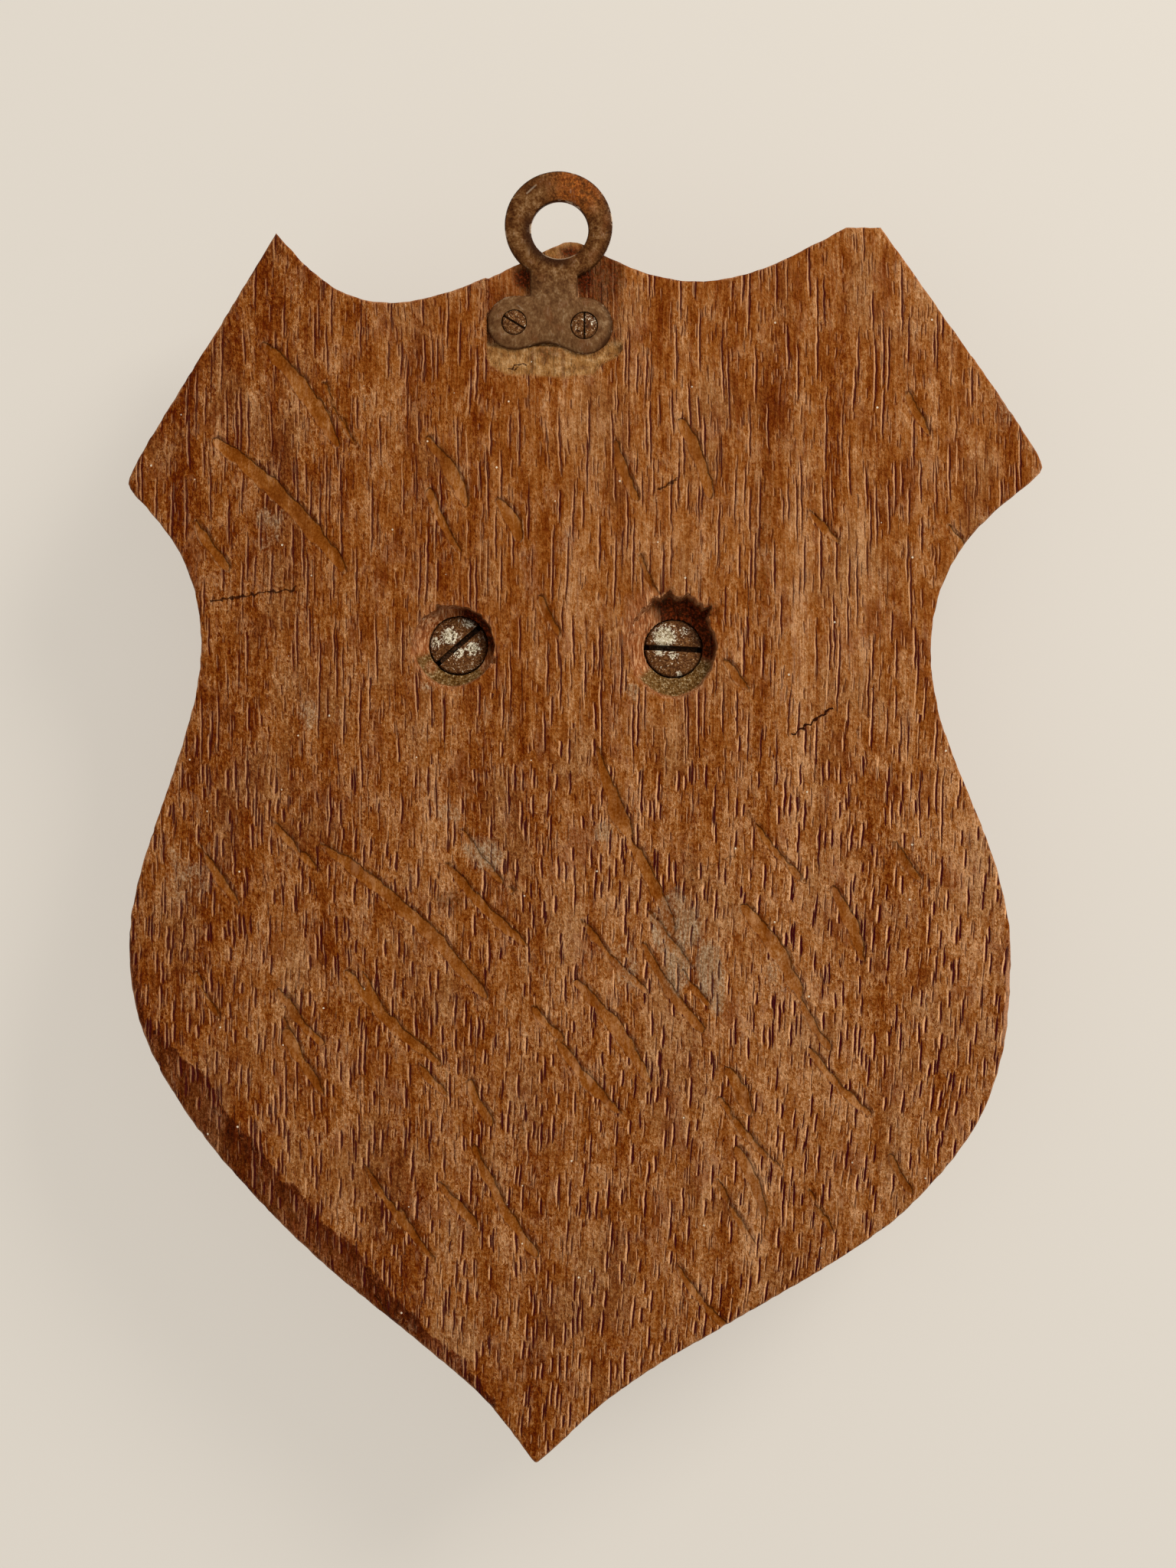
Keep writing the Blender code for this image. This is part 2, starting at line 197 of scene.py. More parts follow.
def rough(right, up, size, seed, octaves=3, stretch=1.0):
    """Several layers of noise, each half as large and half as strong as the last."""
    total = 0.0
    for k in range(octaves):
        scale = size / 2**k
        total = total + noise(right, up, scale, scale * stretch, seed + k) / 2**k
    return total / 1.5


def loops_at(node, depth):
    """Closed loops of a CAD node's edges at one depth, each from its lowest point, longest first."""
    bm = bmesh.new()
    bm.from_mesh(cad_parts[node].data)
    bmesh.ops.remove_doubles(bm, verts=bm.verts, dist=2e-6)
    level = -depth * MM
    rim = {e for e in bm.edges if all(abs(v.co.y - level) < 3e-6 for v in e.verts)}
    loops = []
    while rim:
        edge = rim.pop()
        first, here = edge.verts
        loop = [first, here]
        while here is not first:
            edge = next((e for e in here.link_edges if e in rim), None)
            if edge is None:
                break
            rim.discard(edge)
            here = edge.other_vert(here)
            loop.append(here)
        if here is first and len(loop) > 3:
            points = counter_clockwise(np.array([(-v.co.x / MM, v.co.z / MM) for v in loop[:-1]]))
            lowest = np.lexsort((points[:, 0], points[:, 1]))[0]
            loops.append(np.roll(points, -lowest, axis=0))
    bm.free()
    return sorted(loops, key=lambda points: -perimeter(points))


def counter_clockwise(points):
    following = np.roll(points, -1, axis=0)
    area = (points[:, 0] * following[:, 1] - following[:, 0] * points[:, 1]).sum()
    return points if area > 0 else points[::-1].copy()


def perimeter(points):
    return lengths(np.roll(points, -1, axis=0) - points).sum()


def resample(points, step):
    """The closed loop with points about one step apart, its own corners kept."""
    parts = []
    for here, there in zip(points, np.roll(points, -1, axis=0)):
        count = max(1, round(np.linalg.norm(there - here) / step))
        share = np.arange(count)[:, None] / count
        parts.append(here + (there - here) * share)
    return np.vstack(parts)


def normals_of(loop):
    """Unit vectors that point into the counter-clockwise loop at each of its points."""
    along = np.roll(loop, -1, axis=0) - np.roll(loop, 1, axis=0)
    inward = np.column_stack((-along[:, 1], along[:, 0]))
    return inward / lengths(inward)[:, None]


def turns(count):
    """Directions evenly round a circle."""
    return np.arange(count) * math.tau / count


def circle(centre, radius, turn):
    """Points around a centre, one in each of the given directions."""
    return np.column_stack((centre[0] + radius * np.cos(turn), centre[1] + radius * np.sin(turn)))


class Edge:
    """Distances from points to a closed loop."""

    def __init__(self, loop):
        self.loop = loop
        self.tree = kdtree.KDTree(len(loop))
        for index, point in enumerate(loop):
            self.tree.insert((*point, 0), index)
        self.tree.balance()

    def distance(self, points):
        near = np.array([self.tree.find((*point, 0))[1] for point in points], int)
        best = np.full(len(points), 1e9)
        for step in (-1, 1):
            start = self.loop[near]
            end = self.loop[(near + step) % len(self.loop)]
            along = end - start
            share = ((points - start) * along).sum(axis=1) / (along * along).sum(axis=1)
            foot = start + along * np.clip(share, 0, 1)[:, None]
            best = np.minimum(best, lengths(points - foot))
        return best


def lattice_inside(loop, step):
    """Points of a triangular lattice inside the loop."""
    following = np.roll(loop, -1, axis=0)
    rise = step * math.sqrt(0.75)
    rows = []
    low, high = loop[:, 1].min(), loop[:, 1].max()
    for number in range(int((high - low) / rise) + 1):
        up = low + rise * (number + 0.5)
        crossing = (loop[:, 1] > up) != (following[:, 1] > up)
        a, b = loop[crossing], following[crossing]
        cuts = np.sort(a[:, 0] + (up - a[:, 1]) / (b[:, 1] - a[:, 1]) * (b[:, 0] - a[:, 0]))
        for left, right in zip(cuts[::2], cuts[1::2]):
            first = math.ceil(left / step - 0.5 * (number % 2)) + 0.5 * (number % 2)
            place = np.arange(first * step, right, step)
            rows.append(np.column_stack((place, np.full(len(place), up))))
    return np.vstack(rows)


def triangulate(points, loops):
    """The loops' points, then the loose ones, and triangles inside the first loop and outside the rest."""
    edges = []
    start = 0
    for loop in loops:
        count = len(loop)
        edges += [(start + k, start + (k + 1) % count) for k in range(count)]
        start += count
    everything = np.vstack(list(loops) + [points])
    places = [Vector(point) for point in everything]
    found = delaunay_2d_cdt(places, edges, [], 1, 1e-6, False)
    if len(found[0]) != len(everything):
        raise ValueError("two points of a surface fall together")
    faces = np.array(found[2])
    middle = everything[faces].mean(axis=1)
    keep = inside(middle, loops[0])
    for hole in loops[1:]:
        centre = hole.mean(axis=0)
        reach = lengths(hole - centre).max()
        near = lengths(middle - centre) < reach
        keep[near] &= ~inside(middle[near], hole)
    return everything, faces[keep]


def inside(points, loop):
    following = np.roll(loop, -1, axis=0)
    result = np.zeros(len(points), bool)
    for a, b in zip(loop, following):
        if a[1] == b[1]:
            continue
        crossing = (a[1] > points[:, 1]) != (b[1] > points[:, 1])
        cut = a[0] + (points[:, 1] - a[1]) / (b[1] - a[1]) * (b[0] - a[0])
        result ^= crossing & (points[:, 0] < cut)
    return result


class Solid:
    """A mesh put together from surfaces, walls and named values at its points."""

    def __init__(self):
        self.points = []
        self.faces = []
        self.values = {}
        self.count = 0

    def add(self, positions, **values):
        first = self.count
        self.points.append(positions)
        for name, value in values.items():
            parts = self.values.setdefault(name, [])
            parts.append((first, np.broadcast_to(value, len(positions))))
        self.count += len(positions)
        return np.arange(first, self.count)

    def surface(self, faces, flip):
        """Triangles whose order is counter-clockwise as seen from the back."""
        self.faces += (faces[:, ::-1] if flip else faces).tolist()

    def band(self, upper, lower):
        """Squares between two counter-clockwise rings of points, the upper ring nearer to the back."""
        quads = np.column_stack((upper, lower, np.roll(lower, -1), np.roll(upper, -1)))
        self.faces += quads.tolist()

    def build(self, name, sharp=40.0):
        mesh = bpy.data.meshes.new(name)
        mesh.from_pydata(np.vstack(self.points).tolist(), [], self.faces)
        for key, parts in self.values.items():
            field = np.zeros(self.count, np.float32)
            for first, value in parts:
                field[first:first + len(value)] = value
            mesh.attributes.new(key, "FLOAT", "POINT").data.foreach_set("value", field)
        bm = bmesh.new()
        bm.from_mesh(mesh)
        bmesh.ops.recalc_face_normals(bm, faces=bm.faces)
        bm.to_mesh(mesh)
        bm.free()
        mesh.shade_smooth()
        mesh.set_sharp_from_angle(angle=math.radians(sharp))
        obj = bpy.data.objects.new(name, mesh)
        bpy.context.scene.collection.objects.link(obj)
        return obj


# Ray flecks: the two ends in pixels of the photograph, and the width in millimetres
FLECKS = [
    (421, 1105, 635, 1303, 1.5), (584, 1128, 686, 1233, 1.1), (453, 1271, 574, 1389, 1.2),
    (613, 1412, 641, 1469, 1.0), (821, 1099, 879, 1217, 1.5), (840, 1233, 917, 1345, 1.2),
    (754, 1284, 847, 1412, 1.4), (971, 1185, 1048, 1303, 1.5), (1089, 1160, 1127, 1255, 1.3),
    (729, 1361, 808, 1453, 1.2), (949, 1396, 981, 1456, 1.3), (650, 652, 679, 703, 1.3),
    (803, 576, 832, 652, 1.2), (889, 550, 927, 646, 1.3), (345, 450, 440, 580, 1.6),
    (280, 575, 450, 745, 1.8), (560, 575, 610, 660, 1.4), (961, 1500, 1000, 1590, 1.3),
    (620, 1500, 700, 1640, 1.1), (780, 980, 826, 1090, 1.2), (560, 640, 600, 720, 1.0),
]
MORE_FLECKS = 40


def fleck_distance(right, up):
    """How far each point lies outside the nearest ray fleck; less than zero is inside."""
    wander = 0.42 * rough(right, up, 2.8, 60) + 0.20 * noise(right, up, 1.0, 2.2, 66)
    best = np.full(len(right), FAR)
    segments = list(FLECKS)
    rng = np.random.default_rng(11)
    for number in range(MORE_FLECKS):
        highest = 420 if number < MORE_FLECKS / 2 else 1020
        px, py = rng.uniform(220, 1260), rng.uniform(highest, 1720)
        length, tilt = rng.uniform(50, 130), math.radians(rng.uniform(46, 64))
        end = px + length * math.cos(tilt), py + length * math.sin(tilt)
        segments.append((px, py, *end, rng.uniform(0.45, 0.95)))
    for x0, y0, x1, y1, width in segments:
        a, b = np.array(pixel(x0, y0)), np.array(pixel(x1, y1))
        along = b - a
        length = np.linalg.norm(along)
        share = np.clip(((right - a[0]) * along[0] + (up - a[1]) * along[1]) / length**2, 0, 1)
        bow = 0.04 * length * np.sin(share * math.pi) * (1 if width > 1.2 else -1)
        foot_right = a[0] + along[0] * share - along[1] / length * bow
        foot_up = a[1] + along[1] * share + along[0] / length * bow
        half = 0.85 * width * (0.35 + 0.65 * np.sin(np.clip(share * math.pi, 0.0, math.pi)) ** 0.5)
        best = np.minimum(best, np.hypot(right - foot_right, up - foot_up) - half)
    return best + wander


# Mouths of the wells: the left, right, top and bottom in pixels, and what each looks like. A turn is in
# degrees from the right, counter-clockwise, and a spike is a turn, a length and a width in degrees.
# Gloom sets how far round each well's wall the painted shade reaches.
WELLS = []
for side, pixels, shape in (
    ("left", (537.8, 645.9, 789.6, 897.8), dict(
        seed=21, ragged=0.3, steep_turn=38.0, gloom=0.42, dust_turn=-106.0, dust=0.9,
        spikes=((118.0, 0.7, 5.0), (52.0, 0.5, 6.0)),
    )),
    ("right", (819.8, 936.8, 775.0, 911.8), dict(
        seed=31, ragged=0.5, steep_turn=44.0, gloom=0.1, dust_turn=-80.0, dust=1.0,
        spikes=((94.0, 1.0, 4.0), (48.0, 1.5, 5.0), (76.0, 0.6, 4.0), (112.0, 0.6, 5.0)),
    )),
):
    low = pixel(pixels[0], pixels[3])
    high = pixel(pixels[1], pixels[2])
    head, near, _ = centre_of("antler_screw_" + side)
    shape.update(
        centre=((low[0] + high[0]) / 2, (low[1] + high[1]) / 2),
        half=((high[0] - low[0]) / 2, (high[1] - low[1]) / 2),
        head=head,
        head_radius=radius_of("antler_screw_" + side),
        rim_depth=near + 0.7,
    )
    WELLS.append(shape)


def well_mouth(well, turn):
    """Distance from the head's centre to the ragged mouth, in each direction."""
    across = circle((0, 0), 1.0, turn)
    offset = np.array(well["head"]) - np.array(well["centre"])
    half = np.array(well["half"])
    p, q = across / half, offset / half
    a, b, c = (p * p).sum(axis=1), 2 * (p * q).sum(axis=1), (q * q).sum() - 1
    reach = (-b + np.sqrt(b * b - 4 * a * c)) / (2 * a)
    torn = smooth(-0.1, 0.9, np.sin(turn))
    notch = noise(turn * 4.0, turn * 0, 1.0, 1.0, well["seed"])
    notch = notch + 0.6 * noise(turn * 11.0, turn * 0, 1.0, 1.0, well["seed"] + 1)
    reach = reach + well["ragged"] * notch * (0.35 + 0.65 * torn)
    for middle, length, width in well["spikes"]:
        away = np.abs((np.degrees(turn) - middle + 180) % 360 - 180)
        reach = reach + length * np.clip(1 - away / width, 0, 1)
    return reach


def well_depth(well, right, up):
    """Depth of the surface around one large screw, and where its dust, bare wood and painted shade lie."""
    x, z = right - well["head"][0], up - well["head"][1]
    r, turn = np.hypot(x, z), np.arctan2(z, x)

    def towards(degrees, low, high):
        return smooth(low, high, np.cos(turn - math.radians(degrees)))

    mouth = well_mouth(well, turn)
    seat = well["head_radius"] + WELL_GAP
    share = np.clip((mouth - r) / (mouth - seat), 0, 1)
    steep = towards(well["steep_turn"], -0.35, 0.55)
    floor = well["rim_depth"] + WELL_BOTTOM
    gentle = 0.35 * smooth(0, 0.16, share) + 0.65 * share**0.8
    depth = floor * (steep * smooth(0, 0.26, share) + (1 - steep) * gentle)
    heap = well["dust"] * towards(well["dust_turn"], 0.25, 0.85)
    crumbs = 0.16 * rough(right, up, 0.9, well["seed"] + 5)
    level = floor * 0.66 + 0.9 * share + crumbs
    depth = np.where(share > 0, depth * (1 - heap) + np.minimum(depth, level) * heap, 0.0)
    tears = 0.10 * rough(right, up, 1.1, well["seed"] + 8, stretch=2.0)
    depth = depth + np.where(share > 0, tears * smooth(0, 0.3, share), 0)
    gap = 0.12 * towards(235.0, -0.2, 0.6)
    pit = smooth(seat + gap, seat - 0.12, r)
    depth = depth * (1 - pit) + pit * (floor + PIT_DEPTH)
    zone = smooth(mouth + 0.1, mouth - 0.15, r)
    grime = zone * smooth(0.1, 0.6, heap) * smooth(0.05, 0.2, share)
    # Painted shade on the steep wall that faces away from the light, and in the deep gap round the head
    shadow = towards(well["steep_turn"], well["gloom"], well["gloom"] + 0.4)
    dark = zone * np.maximum(shadow * smooth(0.0, 0.25, share) * (1 - 0.8 * grime), pit)
    bare = zone * (1 - grime) * (1 - dark)
    return depth, zone, grime, dark, bare


def mortise_depth(right, up):
    """Depth of the pocket for the hanger, with its chiselled run-out below, and where its wood is cut."""
    left = smooth(0.0, MORTISE_WALL, right - MORTISE_LEFT + 0.10 * noise(right, up, 3.0, 2.0, 71))
    slope = np.clip((MORTISE_RIGHT - right + 0.3 * noise(right, up, 3.0, 4.0, 73)) / MORTISE_SLOPE, 0, 1)
    foot = smooth(0.0, 0.12, slope)
    floor = MORTISE_FLOOR + 0.05 * rough(right, up, 2.4, 72, stretch=2.0)
    wave = smooth(2.5, 3.2, np.abs(right + 2.4))
    end = np.interp(right, *np.array(MORTISE_END).T) + 0.25 * noise(right, up, 1.6, 1.6, 75)
    climb = smooth(0, 1, (up - end) / np.maximum(MORTISE_LOW - end, 0.3)) ** 0.8
    run_out = climb * (0.45 + 0.35 * wave + 0.12 * rough(right, up, 1.3, 76))
    run_out = run_out + 0.34 * smooth(end - 0.1, end + 0.25, up)
    below = smooth(MORTISE_LOW + 1.9, MORTISE_LOW + 0.8, up)
    depth = left * slope**0.8 * floor * (1 - below) + np.minimum(left, foot) * run_out * below
    return depth, left * foot * smooth(end - 0.3, end + 0.5, up)


# Width of the dark stain along the lower left edge, in millimetres, at heights of the photograph in pixels
STAIN = [(1150, -1.5), (1200, 0.9), (1340, 1.9), (1376, 5.2), (1420, 7.0), (1490, 7.0), (1540, 5.9),
         (1600, 6.2), (1652, 5.6), (1700, 3.6), (1760, 2.8), (1830, 1.6), (1862, -1.5)]


def stain_distance(right, up, rim):
    """How far each point lies inside the dark stain along the lower left edge."""
    rows = np.array(STAIN)
    width = np.interp(-up, (rows[:, 0] - EYE_PIXEL[1]) / PIXELS_PER_MM, rows[:, 1])
    width = width + 1.2 * rough(right, up, 4.5, 80)
    return np.where(right < 0, width - rim, -FAR)


# Patches: the middle in pixels, the half-width and half-height in millimetres, the strength
DUSTY = [
    (883, 1178, 2.6, 3.2, 0.7), (898, 1215, 3.4, 5.4, 0.9), (926, 1268, 3.8, 6.4, 0.95),
    (864, 1212, 2.6, 5.6, 0.6), (886, 1268, 3.0, 6.6, 0.85), (940, 1308, 2.0, 4.4, 0.75),
    (818, 1258, 3.6, 6.0, 0.5), (629, 1112, 4.6, 5.0, 0.75), (249, 1153, 4.5, 5.5, 0.5),
    (350, 690, 4.0, 6.0, 0.5), (230, 1130, 4.0, 5.0, 0.4), (790, 1085, 2.4, 2.8, 0.6),
    (403, 935, 2.6, 4.0, 0.45), (585, 1062, 3.4, 3.0, 0.45), (1015, 1275, 3.0, 5.0, 0.3),
    (1315, 538, 2.2, 5.5, 0.5), (560, 898, 2.4, 1.6, 0.7), (827, 900, 2.0, 1.8, 0.6),
]
# Painted shade under the ring beside its neck and on the peak behind it, at the right well and along the
# foot of the mortise, with some darker wood
SHADED = [
    (742, 327, 2.2, 1.3, 0.9), (684, 360, 2.4, 3.2, 1.0), (764, 364, 2.6, 3.6, 1.0),
    (786, 366, 4.6, 6.0, 0.62), (664, 392, 3.0, 4.5, 0.3), (875, 778, 1.1, 2.2, 0.7),
    (927, 797, 2.0, 1.6, 0.6), (587, 1176, 3.2, 2.2, 0.5), (997, 700, 2.4, 24.0, 0.22),
    (695, 474, 0.4, 3.0, 0.55), (735, 474, 0.4, 3.0, 0.55), (714, 458, 3.0, 1.5, 0.4),
]
OLIVE = [(718, 322, 3.0, 2.2, 0.9), (738, 314, 4.0, 0.7, 0.8)]
TORN_PALE = [
    (829, 822, 2.4, 5.4, 1.0), (843, 788, 3.2, 2.8, 1.0), (548, 840, 1.3, 4.0, 0.7),
    (562, 870, 1.4, 1.6, 0.8), (566, 796, 2.4, 1.2, 0.6),
]


def patches(right, up, places):
    """How strongly each point is covered by some patches."""
    total = np.zeros(len(right))
    for px, py, half_right, half_up, strength in places:
        a, b = pixel(px, py)
        reach = np.hypot((right - a) / half_right, (up - b) / half_up)
        reach = reach + 0.35 * rough(right, up, 4.0, 90, stretch=1.6)
        total = np.maximum(total, strength * smooth(1.15, 0.45, reach))
    return total


def back_fields(points, edge):
    """Depth of the back and the values that its material reads."""
    right, up = points[:, 0], points[:, 1]
    rim = edge.distance(points)
    fleck = fleck_distance(right, up)
    # The flecks moved up and to the right, for a painted shadow along each fleck's upper right side
    painted_fleck_shadow = fleck_distance(right - 0.5, up - 0.5)
    depth = BACK_SINK + 0.07 * rough(right, up, 26.0, 40) + 0.035 * rough(right, up, 1.7, 45, stretch=2.6)
    depth += 0.24 * smooth(0.4, -0.3, fleck)
    torn = smooth(0.25, 0.75, rough(right, up, 2.6, 50, stretch=2.8)) * smooth(3.0, 0.3, fleck)
    depth -= 0.10 * torn
    worn = ARRIS * (1 + 0.5 * noise(right, up, 6.0, 6.0, 54))
    chip = smooth(0.55, 0.85, noise(right, up, 2.6, 2.6, 55)) * smooth(1.3, 0.2, rim)
    depth += 0.55 * worn * np.clip(1 - rim / worn, 0, 1) ** 2 + 0.35 * chip
    zone, grime, dark, bare = (np.zeros(len(points)) for _ in range(4))
    for well in WELLS:
        near = lengths(points - well["head"]) < WELL_FIELD
        # The wells' depth, dirt, painted shade and bare wood
        deep, inner, dirt, painted_shade, raw = well_depth(well, right[near], up[near])
        depth[near] = np.maximum(depth[near] * (1 - inner), 0) + deep
        zone[near], grime[near], dark[near], bare[near] = inner, dirt, painted_shade, raw
    pocket, cut = mortise_depth(right, up)
    near = up > MORTISE_FIELD
    depth[near] = np.maximum(depth[near] * (1 - 0.7 * cut[near]), pocket[near])
    chisel = np.maximum(cut * smooth(MORTISE_LOW + 3.0, MORTISE_LOW + 1.5, up), patches(right, up, OLIVE))
    fleck, painted_fleck_shadow = (np.where(np.maximum(zone, cut) > 0.3, NO_FLECK, field) for field in (fleck, painted_fleck_shadow))
    pale = np.maximum(0.2 * cut, patches(right, up, TORN_PALE) * (1 - dark))
    # Painted shade from the shaded patches, kept with the wells' painted shade in the dark value
    shade = patches(right, up, SHADED) * (1 - grime)
    return np.maximum(depth, LEAST_SINK), dict(
        fleck=fleck, painted_fleck_shadow=painted_fleck_shadow, torn=torn, grime=grime, chisel=chisel, rim=np.minimum(rim, FAR),
        stain=stain_distance(right, up, rim), dust=patches(right, up, DUSTY),
        dark=np.maximum(dark, shade), bare=np.maximum(bare, pale),
    )


def make_board():
    """The board: its worn back, its sawn sides and its bevelled front."""
    outline = resample(loops_at("board", BOARD_THICKNESS - BEVEL_DEPTH)[0], RIM_STEP)
    inward = normals_of(outline)
    run = np.arange(len(outline)) * RIM_STEP
    nick = 0.05 + 0.07 * noise(run, run * 0, 1.3, 1, 100)
    nick = nick + 0.10 * smooth(0.3, 0.9, noise(run, run * 0, 4.0, 1, 101))
    rim = outline + inward * np.maximum(nick, 0)[:, None]
    edge = Edge(rim)
    board = Solid()

    holes = [circle(well["head"], SHANK_HOLE, turns(HOLE_SIDES)) for well in WELLS]
    lattice = lattice_inside(rim, BACK_STEP)
    lattice = lattice[edge.distance(lattice) > RIM_CLEAR]
    loose = []
    for well in WELLS:
        lattice = lattice[lengths(lattice - well["head"]) > WELL_REACH + 0.1]
        turn = turns(WELL_RAYS)
        mouth = well_mouth(well, turn)
        for k in range(1, WELL_RINGS + 4):
            reach = SHANK_HOLE + (mouth - SHANK_HOLE) * k / WELL_RINGS
            if k > WELL_RINGS:
                reach = mouth + (WELL_REACH - mouth) * (k - WELL_RINGS) / 4
            loose.append(circle(well["head"], reach, turn + (k % 2) * math.pi / WELL_RAYS))
    in_foot = (np.abs(lattice - FOOT_MIDDLE) < np.array(FOOT_HALF) + (0.0, 0.1)).all(axis=1)
    corners = np.array(FOOT_MIDDLE) + np.array(FOOT_HALF) * np.array([(-1, -1), (1, -1), (1, 1), (-1, 1)])
    loose = [lattice[~in_foot]] + loose + [lattice_inside(corners, FOOT_STEP)]
    for reach in RIM_RINGS:
        ring = rim + inward * reach
        loose.append(ring[edge.distance(ring) > 0.8 * reach])
    for wall, way in ((MORTISE_LEFT, 1), (MORTISE_RIGHT, -1)):
        for off in WALL_ROWS:
            strip = np.column_stack((np.full(len(WALL_HEIGHTS), wall + way * off), WALL_HEIGHTS + off))
            strip = strip[inside(strip, rim)]
            loose.append(strip[edge.distance(strip) > 0.35])

    everything, faces = triangulate(np.vstack(loose), [rim] + holes)
    depth, values = back_fields(everything, edge)
    back = board.add(at(everything, depth), front=0.0, **values)
    board.surface(back[faces], flip=False)

    front_edge = Edge(outline)
    lattice = lattice_inside(outline, FRONT_STEP)
    lattice = lattice[front_edge.distance(lattice) > 0.6 * FRONT_STEP]
    for well in WELLS:
        lattice = lattice[lengths(lattice - well["head"]) > SHANK_HOLE + 1.0]
    crease = [(outline + inward * reach)[::2] for reach in (BEVEL_WIDTH - CREASE, BEVEL_WIDTH + CREASE)]
    crease = [ring[front_edge.distance(ring) > BEVEL_WIDTH - CREASE - 0.02] for ring in crease]
    lattice = lattice[np.abs(front_edge.distance(lattice) - BEVEL_WIDTH) > 0.45]
    everything, faces = triangulate(np.vstack([lattice] + crease), [outline] + holes)
    rim_distance = front_edge.distance(everything)
    slope = BEVEL_DEPTH * np.clip(1 - rim_distance / BEVEL_WIDTH, 0, 1)
    wave = 0.03 * rough(*everything.T, 20.0, 110)
    level = BOARD_THICKNESS - FRONT_SINK - slope + np.where(rim_distance > BEVEL_WIDTH, -0.02 + wave, 0)
    plain = dict(fleck=NO_FLECK, painted_fleck_shadow=NO_FLECK, stain=-FAR)
    front = board.add(at(everything, np.minimum(level, BOARD_THICKNESS)), front=1.0,
                      rim=np.minimum(rim_distance, FAR), **plain)
    board.surface(front[faces], flip=True)

    count = len(rim)
    upper = back[:count]
    start = depth[:count]
    end = BOARD_THICKNESS - BEVEL_DEPTH
    for k in range(1, SIDE_ROWS):
        share = k / SIDE_ROWS
        level = start + (end - start) * share
        saw = 0.06 * noise(run, level, 1.1, 30.0, 120) + 0.05 * noise(run, level, 5.0, 9.0, 121) + 0.07
        cut = np.maximum(saw, 0)[:, None] * math.sin(share * math.pi) ** 0.3
        ring = rim * (1 - share) + outline * share + inward * cut
        lower = board.add(at(ring, level), front=share**4, cheek=1.0, rim=1.0, **plain)
        board.band(upper, lower)
        upper = lower
    board.band(upper, front[:count])
    first = count
    for hole in holes:
        ring = np.arange(first, first + len(hole))
        board.band(front[ring], back[ring])
        first += len(hole)
    return board.build("oak_board", sharp=50.0)


def make_plate():
    """The let-in hanger: one stamped plate with rolled edges."""
    loops = loops_at("hanger_plate", PLATE_SINK + PLATE_THICKNESS - 0.032)
    outer = resample(loops[0], PLATE_STEP)
    eye = min(loops[1:], key=lambda loop: np.linalg.norm(loop.mean(axis=0)))
    eye = resample(eye, PLATE_STEP)
    bores = []
    for side in ("left", "right"):
        screw = "hanger_screw_" + side
        bore = circle((0, 0), 1.0, turns(HOLE_SIDES))
        gap = 0.005 + 0.07 * smooth(-0.3, 0.4, bore @ (-0.7, -0.7))
        bores.append(centre_of(screw)[0] + bore * (radius_of(screw) + gap)[:, None])
    rims = [outer, eye] + bores
    outer_edge, eye_edge = Edge(outer), Edge(eye)
    lattice = lattice_inside(outer, PLATE_STEP)
    for edge in (outer_edge, eye_edge):
        lattice = lattice[edge.distance(lattice) > PLATE_CLEAR]
    for ring in rims[1:]:
        centre = ring.mean(axis=0)
        lattice = lattice[lengths(lattice - centre) > np.linalg.norm(ring[0] - centre) + 0.2]
    loose = [lattice]
    for ring, way in ((outer, 1), (eye, -1)):
        for reach in PLATE_RINGS:
            loose.append(ring + way * reach * normals_of(ring))
    loose = [part[outer_edge.distance(part) > 0.04] for part in loose]
    everything, faces = triangulate(np.vstack(loose), rims)
    right, up = everything.T
    rim = np.minimum(outer_edge.distance(everything), eye_edge.distance(everything))
    roll = PLATE_ROLL * (1 + 0.25 * noise(right, up, 3.0, 3.0, 130))
    inner = np.clip(1 - rim / roll, 0, 1)
    depth = PLATE_SINK + roll * (1 - np.sqrt(1 - inner**2)) * 0.8
    depth += DISH_DEPTH * np.clip(1 - rim / DISH_WIDTH, 0, 1) ** 2
    depth += 0.06 + 0.05 * rough(right, up, 4.5, 131) + 0.012 * rough(right, up, 0.9, 132)
    solid = Solid()
    eye_rim = np.minimum(eye_edge.distance(everything), FAR)
    top = solid.add(at(everything, np.maximum(depth, PLATE_SINK)), rim=rim, eye=eye_rim)
    solid.surface(top[faces], flip=False)
    under, under_faces = triangulate(np.empty((0, 2)), rims)
    floor = PLATE_SINK + PLATE_THICKNESS
    bottom = solid.add(at(under, floor), rim=3.0, eye=FAR)
    solid.surface(bottom[under_faces], flip=True)
    first = 0
    for ring in rims:
        index = np.arange(first, first + len(ring))
        start = depth[index]
        rows = [top[index]]
        for share in (0.3, 0.7):
            rows.append(solid.add(at(ring, start + (floor - start) * share), rim=0.3, eye=1.0))
        rows.append(bottom[index])
        for upper, lower in zip(rows, rows[1:]):
            if ring is outer:
                solid.band(upper, lower)
            else:
                solid.band(lower, upper)
        first += len(ring)
    return solid.build("hanger_eye_plate", sharp=60.0)


